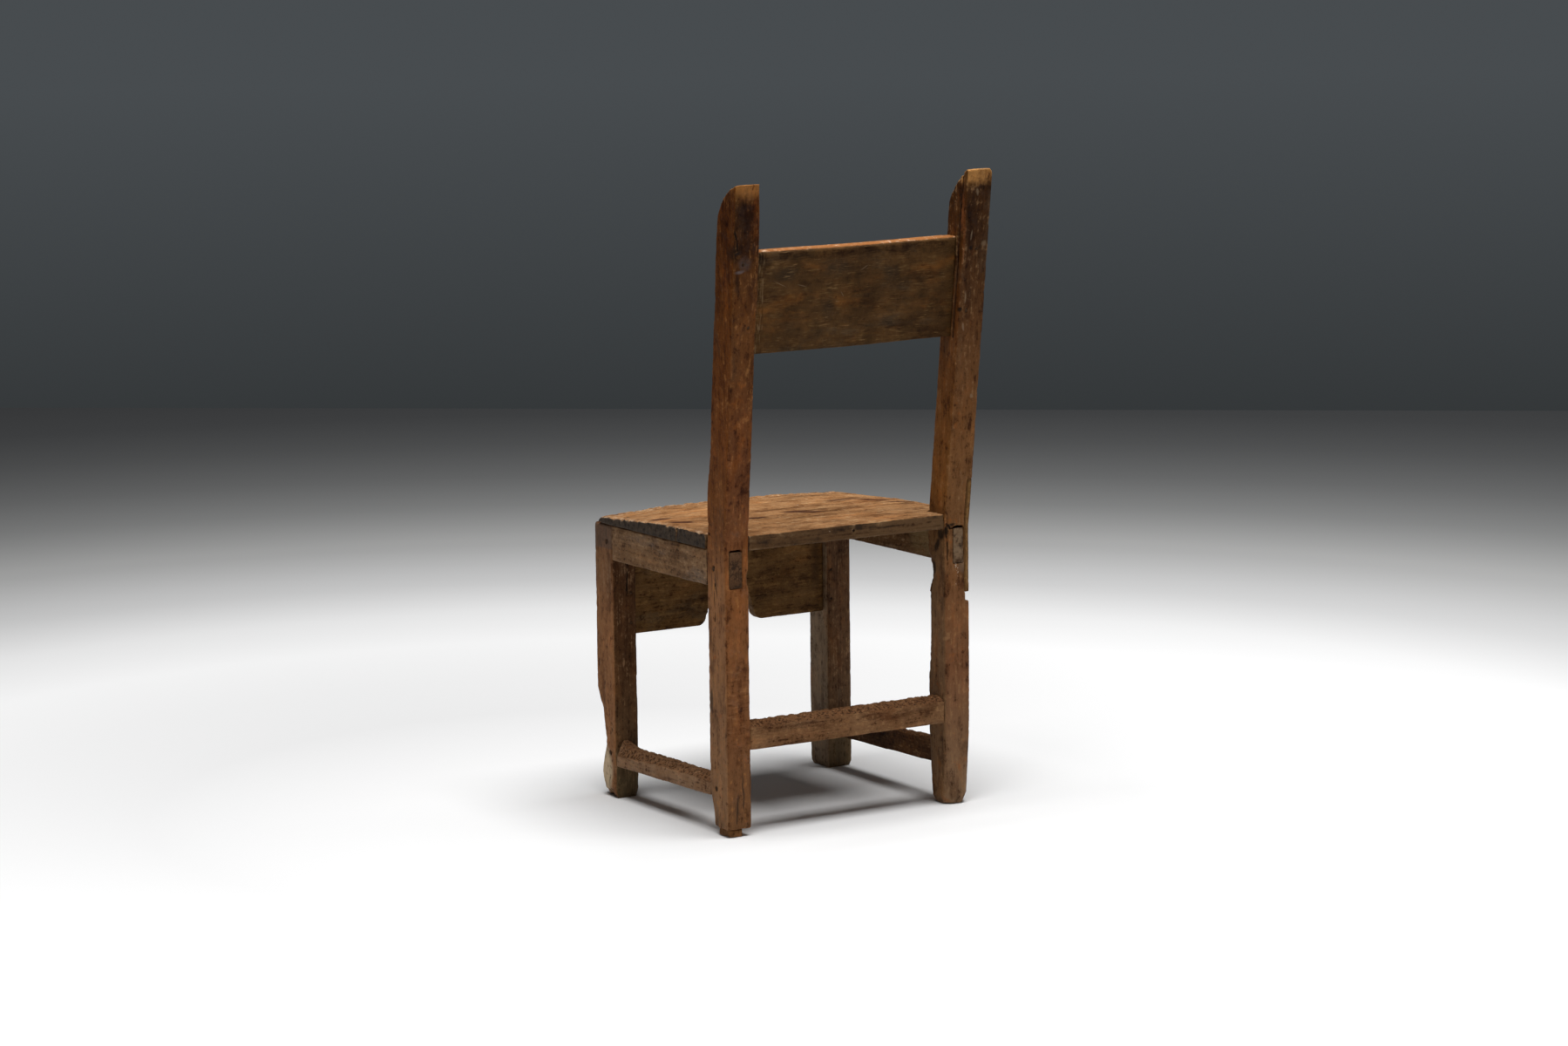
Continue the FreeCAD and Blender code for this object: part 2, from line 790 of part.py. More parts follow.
def both_sides(bars):
    """One group of separate pegs, those of the left and of the right."""
    return Part.makeCompound(bars(LEFT, 0.0) + bars(RIGHT, 0.0))


def all_pieces():
    pieces = {}
    for side in SIDES:
        name = SIDE_NAMES[side]
        pieces["rear_post_" + name] = rear_post(side)
        pieces["front_leg_" + name] = front_leg(side)
        pieces["side_rail_" + name] = side_rail(side)
        pieces["side_stretcher_" + name] = side_stretcher(side)
    pieces["post_repair_strip"] = repair_strip()
    pieces["rear_foot_block"] = foot_block()
    pieces["foot_block_nail"] = foot_nail_bar(0.0)
    pieces["back_panel"] = back_panel()
    pieces["front_apron"] = front_apron()
    pieces["rear_stretcher"] = rear_stretcher()
    pieces["seat_board_front"] = seat_board_front()
    pieces["seat_board_rear"] = seat_board_rear()
    pieces["rail_pegs"] = both_sides(rail_peg_bars)
    pieces["stretcher_pegs"] = both_sides(stretcher_peg_bars)
    pieces["apron_pegs"] = both_sides(apron_peg_bars)
    pieces["panel_pegs"] = both_sides(panel_peg_bars)
    pieces["seat_nails"] = Part.makeCompound(seat_nail_bars(0.0))
    return pieces


os.makedirs("parts", exist_ok=True)
chair = all_pieces()
box = Part.makeCompound(list(chair.values())).optimalBoundingBox(False, False)
to_centre = Vector(-box.Center.x, -box.Center.y, -box.ZMin)
for node, shape in chair.items():
    shape.translate(to_centre)
    shape.exportStep("parts/" + node + ".step")
    print(node, len(shape.Solids), shape.isValid(), round(shape.Volume))
print("box", box, "moved by", to_centre)
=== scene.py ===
import math

import bmesh
import bpy
import numpy as np
from mathutils import Matrix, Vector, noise


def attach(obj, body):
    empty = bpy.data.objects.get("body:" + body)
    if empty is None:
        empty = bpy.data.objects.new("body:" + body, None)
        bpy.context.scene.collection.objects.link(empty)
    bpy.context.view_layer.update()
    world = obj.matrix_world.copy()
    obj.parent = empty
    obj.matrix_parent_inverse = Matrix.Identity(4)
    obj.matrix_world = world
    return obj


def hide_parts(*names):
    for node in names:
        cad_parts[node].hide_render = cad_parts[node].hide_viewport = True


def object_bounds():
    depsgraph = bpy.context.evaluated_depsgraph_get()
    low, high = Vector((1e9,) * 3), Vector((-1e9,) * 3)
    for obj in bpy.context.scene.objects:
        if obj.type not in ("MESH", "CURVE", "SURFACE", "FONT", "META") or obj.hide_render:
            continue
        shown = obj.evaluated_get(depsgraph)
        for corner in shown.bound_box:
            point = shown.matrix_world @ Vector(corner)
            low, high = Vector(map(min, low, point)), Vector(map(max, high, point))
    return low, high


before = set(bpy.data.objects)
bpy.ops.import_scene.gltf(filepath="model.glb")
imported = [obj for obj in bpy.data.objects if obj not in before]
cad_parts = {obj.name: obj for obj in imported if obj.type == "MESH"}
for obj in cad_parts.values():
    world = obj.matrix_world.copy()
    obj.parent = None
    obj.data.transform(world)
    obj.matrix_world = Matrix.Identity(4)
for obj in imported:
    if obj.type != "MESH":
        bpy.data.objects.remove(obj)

cad_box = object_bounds()

MM = 0.001
BODY = "root"
LENGTHWISE = {"X": 0, "Y": 1, "Z": 2}

# The photograph's camera
CAMERA_PLACE = (3.14625, 4.99350, 1.32062)
CAMERA_YAW = math.radians(32.13)
CAMERA_PITCH = math.radians(8.85)
CAMERA_ROLL = math.radians(-0.68)
CAMERA_LENS = 97.05
CAMERA_SENSOR = 36.0

# Floor, background and light
FLOOR_REACH = 4.368
FLOOR_TURN = math.radians(51.65)
FLOOR_CENTRE = (0.18, -0.12, 0.0)
LAMP_PLACE = (0.12, 0.5, 3.0)
LAMP_SIZES = (2.6, 1.7)
LAMP_POWER = 116.0
WORLD_LIGHT = 0.06

# Size of the even faces that the worn pieces are laid out in
FACE = 1.5 * MM

# How far the wear looks round a vertex, and what counts as a full arris or a full relief
ARRIS_REACH = 5 * MM
ARRIS_FULL = 1.2 * MM
RELIEF_REACH = 2.6 * MM
RELIEF_FULL = 0.3 * MM
CHIP_LENGTH = 26 * MM

# What all the finishes share
NOISE_SPREAD = 3.6
BUMP_STRENGTH = 0.9
SPECULAR_LEVEL = 0.07
COAT_ROUGHNESS = 0.28


def add_object(name, data):
    made = bpy.data.objects.new(name, data)
    bpy.context.scene.collection.objects.link(made)
    return made


# ------ worn surfaces

def even_piece(node, face_size):
    """The CAD node's surface, joined up and laid out again in small even faces."""
    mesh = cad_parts[node].data.copy()
    joined = bmesh.new()
    joined.from_mesh(mesh)
    bmesh.ops.remove_doubles(joined, verts=joined.verts, dist=0.01 * MM)
    joined.to_mesh(mesh)
    joined.free()
    piece = add_object(node + "_worn", mesh)
    layout = piece.modifiers.new("even_faces", "REMESH")
    layout.mode = "VOXEL"
    layout.voxel_size = face_size
    depsgraph = bpy.context.evaluated_depsgraph_get()
    piece.data = bpy.data.meshes.new_from_object(piece.evaluated_get(depsgraph))
    piece.modifiers.clear()
    return piece


def bumps(places, size, seed):
    """Smooth noise of about -1 to 1, with bumps of this size in metres along X, Y and Z."""
    scaled = places / np.array(size) + seed
    return np.fromiter((noise.noise(place) for place in scaled.tolist()), float, len(scaled))


def smooth_step(values, low, high):
    """0 at low and 1 at high, smooth between."""
    share = np.clip((values - low) / (high - low), 0, 1)
    return share * share * (3 - 2 * share)


def along_grain(grain, across, along):
    """A bump size that is long along the grain and short across it."""
    size = [across, across, across]
    size[LENGTHWISE[grain]] = along
    return tuple(size)


class Surface:
    """The vertices of one piece as arrays, so that wear can move them."""

    def __init__(self, piece, grain, face_size):
        self.mesh = piece.data
        self.grain = grain
        self.face_size = face_size
        self.count = len(self.mesh.vertices)
        self.places = np.empty(self.count * 3)
        self.mesh.vertices.foreach_get("co", self.places)
        self.places = self.places.reshape(-1, 3)
        ends = np.empty(len(self.mesh.edges) * 2, np.int32)
        self.mesh.edges.foreach_get("vertices", ends)
        self.degree = np.bincount(ends, minlength=self.count)[:, None]
        self.first, self.second = ends.reshape(-1, 2).T
        self.hurt, self.cracked, self.spared = np.zeros((3, self.count))

    def relaxed(self, values, times):
        """The values after each vertex has moved towards its neighbours' mean so many times."""
        for _ in range(times):
            total = np.empty_like(values)
            for column in range(values.shape[1]):
                total[:, column] = np.bincount(self.first, values[self.second, column], self.count)
                total[:, column] += np.bincount(self.second, values[self.first, column], self.count)
            values = 0.5 * values + 0.5 * total / self.degree
        return values

    def times_for(self, distance):
        """How many relaxing rounds reach about this far, whatever the size of the faces."""
        return max(1, round(2 * (distance / self.face_size) ** 2))

    def normals(self):
        """Each vertex's normal on the surface as it now is."""
        self.mesh.vertices.foreach_set("co", self.places.ravel())
        self.mesh.update()
        found = np.empty(self.count * 3)
        self.mesh.vertex_normals.foreach_get("vector", found)
        return found.reshape(-1, 3)

    def press(self, depth):
        """Moves every vertex in along its normal, by its own depth."""
        self.places = self.places - self.normals() * depth[:, None]

    def spare(self, low, high):
        """Keeps the arrises crisp inside a box, given in millimetres."""
        inside = np.ones(self.count)
        for axis in range(3):
            values = self.places[:, axis] / MM
            inside *= smooth_step(values, low[axis] - 2, low[axis] + 1)
            inside *= 1 - smooth_step(values, high[axis] - 1, high[axis] + 2)
        self.spared = np.maximum(self.spared, inside)

    def wear_arrises(self, worn, chipped):
        """Rounds the arrises by a share that wanders along them, and chips them here and there."""
        settled = self.relaxed(self.places, 2)
        self.places = settled
        normals = self.normals()
        rounded = self.relaxed(settled, self.times_for(ARRIS_REACH))
        drop = np.einsum("ij,ij->i", settled - rounded, normals)
        self.arris = np.clip(drop / ARRIS_FULL, -1, 1)
        slow = bumps(settled, (CHIP_LENGTH,) * 3, 3.7)
        quick = bumps(settled, (CHIP_LENGTH * 0.28,) * 3, 9.1)
        chips = smooth_step(slow + 0.6 * quick, 0.05, 0.55)
        share = np.where(drop > 0, worn * (1 + 0.6 * slow) + chipped * chips, 0)
        share = np.clip(share, 0, 1.7) * (1 - self.spared)
        self.places = settled + (rounded - settled) * share[:, None]
        self.hurt += np.clip(self.arris, 0, 1) * chips * chipped * (1 - self.spared)

    def weather(self, waves, fibres, pits):
        """Slow waves, fibres along the grain and small pits in the faces."""
        wave = bumps(self.places, along_grain(self.grain, 30 * MM, 120 * MM), 1.3)
        ripple = bumps(self.places, (17 * MM,) * 3, 8.3)
        fibre = bumps(self.places, along_grain(self.grain, 3.8 * MM, 70 * MM), 5.9)
        hollow = bumps(self.places, along_grain(self.grain, 6 * MM, 15 * MM), 7.7)
        pit = smooth_step(hollow, 0.3, 0.7)
        self.press(waves * (wave + 0.4 * ripple) + fibres * fibre + pits * pit)

    def reach_from(self, centre, radii):
        """How far each vertex is from the centre: 1 on an ellipsoid given in millimetres."""
        away = self.places / MM - np.array(centre)
        return np.linalg.norm(away / np.array(radii), axis=1)

    def reshape(self, centre, radii, shift):
        """Moves a smooth region, as old bends and swellings do; all in millimetres."""
        share = 1 - smooth_step(self.reach_from(centre, radii), 0.2, 1)
        self.places = self.places + share[:, None] * np.array(shift) * MM

    def gouge(self, centre, radii, depth):
        """A hollow with a ragged rim inside an ellipsoid, all in millimetres."""
        reach = self.reach_from(centre, radii)
        near = reach < 1.6
        ragged = np.zeros(self.count)
        ragged[near] = bumps(self.places[near], (6 * MM,) * 3, 2.2)
        share = 1 - smooth_step(reach + 0.2 * ragged, 0.25, 1)
        self.press(share * depth * MM)
        self.hurt += share

    def hole(self, centre, radius, depth):
        """A small dark hole, as a worm or a lost nail leaves it."""
        share = 1 - smooth_step(self.reach_from(centre, radius), 0.5, 1.1)
        self.press(share * depth * MM)
        self.cracked = np.maximum(self.cracked, share)

    def crack(self, points, width, depth):
        """A split along a line of points, in millimetres, that wanders and varies in width."""
        wander = np.stack([bumps(self.places, (13 * MM,) * 3, seed) for seed in (2.9, 6.1, 8.8)], 1)
        here = self.places / MM + wander * 1.6
        nearest = np.full(self.count, 1e9)
        points = np.array(points, float)
        for start, end in zip(points, points[1:]):
            line = end - start
            share = np.clip((here - start) @ line / (line @ line), 0, 1)
            taken = np.linalg.norm(here - start - share[:, None] * line, axis=1)
            nearest = np.minimum(nearest, taken)
        opening = width * (1 + 0.8 * bumps(self.places, (24 * MM,) * 3, 1.7))
        share = 1 - smooth_step(nearest / np.maximum(opening, 0.2), 0.3, 1)
        self.press(share * depth * MM)
        self.cracked = np.maximum(self.cracked, share)

    def crumble(self, share, size, depth):
        """Ragged loss of wood where share is above nought."""
        coarse = bumps(self.places, (size,) * 3, 11.3)
        fine = bumps(self.places, (size * 0.4,) * 3, 4.4)
        loss = np.clip(0.35 + 0.8 * coarse + 0.5 * fine, 0, 1.3)
        self.press(share * loss * depth)
        self.hurt += share * np.clip(0.3 + 0.7 * loss, 0, 1)

    def keep(self):
        """Writes the places back and keeps what the finishes read for each vertex."""
        self.places = np.clip(self.places, *map(list, cad_box))
        normals = self.normals()
        smooth = self.relaxed(self.places, self.times_for(RELIEF_REACH))
        relief = np.einsum("ij,ij->i", self.places - smooth, normals)
        self.store("relief", np.clip(relief / RELIEF_FULL, -1, 1))
        self.store("arris", np.clip(self.relaxed(self.arris[:, None], 2)[:, 0], 0, 1))
        self.store("hurt", np.clip(self.hurt, 0, 1))
        self.store("cracked", self.cracked)
        self.store("facing", self.relaxed(normals, 2))
        self.mesh.shade_smooth()

    def store(self, name, values):
        """Keeps one number or one vector for each vertex."""
        kind, key = ("FLOAT", "value") if values.ndim == 1 else ("FLOAT_VECTOR", "vector")
        layer = self.mesh.attributes.new(name, kind, "POINT")
        layer.data.foreach_set(key, values.astype(np.float32).ravel())


def worn_piece(node, grain, finish, faces=1, worn=0.05, chipped=0.4,
               waves=0.35, fibres=0.22, pits=0.35, spare=(), damage=None):
    """A weathered copy of one CAD node, dressed in its finish."""
    face_size = FACE * faces
    piece = even_piece(node, face_size)
    surface = Surface(piece, grain, face_size)
    for low, high in spare:
        surface.spare(low, high)
    surface.wear_arrises(worn, chipped)
    surface.weather(waves * MM, fibres * MM, pits * MM)
    if damage:
        damage(surface)
    surface.keep()
    piece.data.materials.clear()
    piece.data.materials.append(finish)
    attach(piece, BODY)
    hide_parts(node)
    return piece


# ------ finishes

class Value:
    """A socket that takes part in plain arithmetic; each operation adds a Math node."""

    def __init__(self, finish, socket):
        self.finish = finish
        self.socket = socket

    def maths(self, operation, first, second=0):
        return self.finish.node("Math", {0: first, 1: second}, operation=operation)

    def __add__(self, other):
        return self.maths("ADD", self, other)

    def __sub__(self, other):
        return self.maths("SUBTRACT", self, other)

    def __rsub__(self, other):
        return self.maths("SUBTRACT", other, self)

    def __mul__(self, other):
        return self.maths("MULTIPLY", self, other)

    def __pow__(self, other):
        return self.maths("POWER", self, other)

    def __abs__(self):
        return self.maths("ABSOLUTE", self)

    __radd__ = __add__
    __rmul__ = __mul__


class Finish:
    """The nodes of one material, or of the world."""

    def __init__(self, owner):
        self.owner = owner
        owner.use_nodes = True
        self.tree = owner.node_tree
        self.tree.nodes.clear()

    def node(self, kind, sockets=None, output=0, **settings):
        """Adds a shader node: its settings first, then the values or links of its sockets."""
        made = self.tree.nodes.new("ShaderNode" + kind)
        for name, setting in settings.items():
            setattr(made, name, setting)
        for name, value in (sockets or {}).items():
            if isinstance(value, Value):
                self.tree.links.new(value.socket, made.inputs[name])
            else:
                made.inputs[name].default_value = value
        return Value(self, made.outputs[output]) if made.outputs else None

    def place(self):
        """Where a point is in the frame, in metres."""
        return self.node("TexCoord", output="Object")

    def kept(self, name, output="Fac"):
        """What the worn surface keeps for each vertex: a number or a vector."""
        return self.node("Attribute", output=output, attribute_name=name)

    def vector(self, operation, first, second):
        return self.node("VectorMath", {0: first, 1: second}, operation=operation)

    def length(self, vector):
        return self.node("VectorMath", {0: vector}, "Value", operation="LENGTH")

    def noise(self, place, scale, detail, roughness=0.5):
        """Noise spread to about -1 to 1."""
        grey = self.node("TexNoise", {
            "Vector": place, "Scale": scale, "Detail": detail, "Roughness": roughness})
        return (grey - 0.5) * NOISE_SPREAD

    def warped(self, place, scale, amount):
        """The place shifted a little by noise, so that edges wander."""
        drift = self.node("TexNoise", {
            "Vector": place, "Scale": scale, "Detail": 2}, output="Color")
        shift = self.vector("SUBTRACT", drift, (0.5, 0.5, 0.5))
        return self.vector("ADD", place, self.vector("MULTIPLY", shift, (amount,) * 3))

    def step(self, value, low, high):
        """0 at low, 1 at high, smooth between; low may be above high."""
        return self.node("MapRange", {"Value": value, "From Min": low, "From Max": high},
                         interpolation_type="SMOOTHSTEP")

    def spot(self, place, centre, radii, turn=(0, 0, 0), core=0.3):
        """1 in the core of a turned ellipsoid given in millimetres, 0 outside it."""
        inside = self.node("Mapping", {
            "Vector": place,
            "Location": tuple(value * MM for value in centre),
            "Rotation": tuple(math.radians(angle) for angle in turn),
            "Scale": tuple(value * MM for value in radii)}, vector_type="TEXTURE")
        return self.step(self.length(inside), 1, core)

    def mixed(self, share, first, second, blend="MIX"):
        """The first colour, changed by the second one as far as the share says."""
        return self.node("Mix", {0: share, 6: first, 7: second}, 2,
                         data_type="RGBA", blend_type=blend)

    def ramp(self, value, stops):
        """Colours along a value: each stop is a place on it and a colour."""
        made = self.node("ValToRGB", {"Fac": value})
        elements = made.socket.node.color_ramp.elements
        elements.remove(elements[1])
        elements[0].position = stops[0][0]
        elements[0].color = (*stops[0][1], 1)
        for place, colour in stops[1:]:
            elements.new(place).color = (*colour, 1)
        return made

    def parts(self, vector):
        """The X, Y and Z of a vector, each as a value."""
        split = self.node("SeparateXYZ", {0: vector})
        return [Value(self, split.socket.node.outputs[axis]) for axis in range(3)]

    def close(self, colour, roughness, height, depth, polish=0):
        """Ends the material with one principled shader, a bump and a coat where it is polished."""
        bump = self.node("Bump", {
            "Strength": BUMP_STRENGTH, "Distance": depth, "Height": height})
        shader = self.node("BsdfPrincipled", {
            "Base Color": colour, "Roughness": roughness, "Normal": bump,
            "Specular IOR Level": SPECULAR_LEVEL, "Coat Weight": polish,
            "Coat Roughness": COAT_ROUGHNESS})
        self.node("OutputMaterial", {"Surface": shader})
        return self.owner


class Wood:
    """Old wood: growth rings about a pith line, streaks, fibres, specks, pores, dirt and wear."""

    def __init__(self, name, grain, pith, ring_width=4, rings=0.06, streaks=0.22,
                 fibres=0.26, blotches=0.2, specks=0.44):
        finish = Finish(bpy.data.materials.new(name))
        self.finish = finish
        self.grain = grain
        self.place = finish.place()
        self.wavy = finish.warped(self.place, 9, 0.006)
        self.near = finish.warped(self.place, 70, 0.004)
        self.x, self.y, self.z = finish.parts(self.wavy)
        self.facing = finish.parts(finish.kept("facing", "Vector"))
        self.streak = finish.noise(self.drawn(0.09), 150, 4, 0.6)
        self.fibre = finish.noise(self.drawn(0.045), 520, 3, 0.7)
        self.blotch = finish.noise(self.place, 21, 5, 0.62)
        self.dirt = finish.noise(self.place, 95, 4, 0.68)
        self.speck = finish.noise(self.drawn(0.6), 300, 3, 0.75)
        sides = [value for axis, value in enumerate((self.x, self.y, self.z))
                 if axis != LENGTHWISE[grain]]
        offsets = [value - at * MM for value, at in zip(sides, pith)]
        span = (offsets[0] * offsets[0] + offsets[1] * offsets[1]) ** 0.5
        turns = span * (2 * math.pi / (ring_width * MM)) + self.streak * 1.4
        self.ring = finish.node("Math", {0: turns}, operation="SINE")
        tone = 0.5 + self.ring * rings + self.streak * streaks + self.fibre * fibres
        self.tone = tone + self.blotch * blotches + self.speck * specks + self.dirt * 0.42
        self.patchy = finish.noise(self.place, 55, 3, 0.7)
        self.relief = finish.kept("relief")
        self.arris = finish.kept("arris")
        self.hurt = finish.kept("hurt")
        self.cracked = finish.kept("cracked")
        self.end_grain = abs(self.facing[LENGTHWISE[grain]])
        self.pore = finish.step(self.fibre * 0.7 + self.speck * 0.4, 0.75, 1.25)
        self.roughness = 0.6 + self.fibre * 0.08 + self.dirt * 0.06
        self.polish = 0
        self.colour = None

    def drawn(self, squeeze):
        """The place squeezed along the grain, so that noise is drawn out that way."""
        scale = [1, 1, 1]
        scale[LENGTHWISE[self.grain]] = squeeze
        return self.finish.vector("MULTIPLY", self.wavy, tuple(scale))

    def step(self, value, low, high):
        return self.finish.step(value, low, high)

    def above(self, low, high):
        """0 below the low height and 1 above the high one, both in metres."""
        return self.finish.step(self.z, low, high)

    def spot(self, centre, radii, turn=(0, 0, 0), core=0.3):
        return self.finish.spot(self.near, centre, radii, turn, core)

    def tint(self, share, colour, blend="MIX"):
        """Lays a colour over the wood where share is above nought."""
        self.colour = self.finish.mixed(share, self.colour, (*colour, 1), blend)

    def shade(self, share, colour):
        """Multiplies the wood's colour: below one darkens it, above one lightens it."""
        self.tint(share, colour, "MULTIPLY")

    def dab(self, share, colour, centre, radii, turn=(0, 0, 0)):
        """One soft spot of colour, placed in millimetres."""
        self.tint(self.spot(centre, radii, turn) * share, colour)

    def ground(self, first, second, low=-0.7, high=0.7):
        """The first two browns, which take turns in blotches."""
        share = self.step(self.blotch, low, high)
        self.colour = self.finish.mixed(share, (*first, 1), (*second, 1))

    def figure(self, dark, pale, pale_share=0.55):
        """The wood's own drawing: its dense lines darkened and its open ones paler."""
        self.shade(self.step(self.tone, 0.45, -0.05), dark)
        self.tint(self.step(self.tone, 0.58, 1.05) * pale_share, pale)
        self.shade(self.pore * 0.7, (0.35, 0.28, 0.22))

    def patches(self, warm, grey, share):
        """Broad patches of a warmer and of a greyer brown."""
        cloud = self.finish.noise(self.drawn(0.35), 28, 6, 0.7)
        self.tint(self.step(cloud, 0.1, 0.75) * share * 1.3, warm)
        self.tint(self.step(cloud, -0.1, -0.75) * share * 1.3, grey)
        soot = self.finish.noise(self.drawn(0.32), 52, 6, 0.7)
        self.shade(self.step(soot, 0, 0.55) * 0.65, (0.36, 0.27, 0.21))
        self.shade(self.step(soot, -0.1, -0.7) * 0.55, (1.8, 1.65, 1.5))

    def age(self, rubbed, fresh, hurt_share=0.5, edge_share=0.5):
        """Dark hollows and cracks, pale rubbed arrises and flecks, and wood bared by damage."""
        step = self.step
        self.tint(step(self.hurt + self.dirt * 0.35, 0.4, 1) * hurt_share, fresh)
        hollow = step(self.relief * -1 + self.dirt * 0.25, 0.15, 0.9)
        self.shade(hollow * 0.85, (0.26, 0.2, 0.16))
        self.tint(step(self.relief + self.speck * 0.3 - self.arris * 1.5, 0.5, 1.3) * 0.3, rubbed)
        bare = self.arris + self.dirt * 0.3 + self.speck * 0.2 + self.patchy * 0.35
        self.tint(step(bare, 0.9, 1.3) * edge_share, rubbed)
        self.tint(step(self.cracked, 0.15, 0.7) * 0.9, (0.012, 0.007, 0.004))

    def flecks(self, colour, share=0.6, rarity=1.05):
        """Small pale flecks, as old paint, lime or bruised fibres leave them."""
        fleck = self.finish.noise(self.place, 240, 2, 0.6) + self.dirt * 0.35
        self.tint(self.step(fleck, rarity, rarity + 0.2) * share, colour)
        grit = self.finish.noise(self.place, 230, 2, 0.6) - self.dirt * 0.35
        self.shade(self.step(grit, 0.8, 1.05) * 0.6, (0.25, 0.18, 0.14))

    def stained(self, mask):
        """Dark stains drawn out along the grain where the mask is above nought."""
        stain = self.finish.noise(self.drawn(0.25), 48, 4, 0.65)
        self.shade(self.step(stain, -0.1, 0.6) * mask, (0.34, 0.24, 0.18))

    def limed(self, mask, colour=(0.62, 0.52, 0.41)):
        """Crumbs of old lime or paint, thick where the mask is near one."""
        crumbs = self.finish.noise(self.place, 330, 3, 0.7) + self.dirt * 0.5
        share = self.step(crumbs + mask * 1.1, 1.35, 1.6) * self.step(mask, 0, 0.2)
        self.tint(share * 0.9, colour)

    def rusted(self, mask, colour=(0.3, 0.085, 0.014)):
        """Small orange patches where the mask is above nought."""
        patch = self.patchy + self.dirt * 0.6
        self.tint(self.step(patch, 0.35, 1) * mask, colour)

    def marked(self, colour, share, *marks):
        """Ragged single marks: each has a centre, radii and, where it is turned, its turn."""
        rough = self.step(self.speck + self.dirt * 0.5, -1.2, -0.2)
        for mark in marks:
            self.tint(self.spot(*mark, core=0.45) * rough * share, colour)

    def handled(self, low, high, share):
        """Smoother and shinier up to the high height, where hands took hold."""
        height = self.step(self.z, low, high)
        self.roughness = self.roughness - height * 0.15
        self.polish = height * self.step(self.patchy, -0.2, 0.8) * share

    def close(self, depth=0.45):
        """Ends the material; the depth of its bumps is in millimetres."""
        height = self.streak * 0.3 + self.fibre * 0.4 + self.speck * 0.6 + self.dirt * 0.5
        height = height - self.pore * 0.9
        return self.finish.close(self.colour, self.roughness, height, depth * MM, self.polish)


def post_wood(name, pith, ring_width, streaks, back, side):
    """A rear post's wood, with one row of colours up its back and one up its left face."""
    wood = Wood(name, "Z", pith, ring_width, streaks=streaks, fibres=0.2, specks=0.26)
    level = wood.z + wood.dirt * 0.004
    wood.colour = wood.finish.ramp(level, back)
    side = wood.finish.ramp(level, side)
    share = wood.step(wood.facing[0], 0.6, 0.9) * 0.9
    wood.colour = wood.finish.mixed(share, wood.colour, side)
    return wood


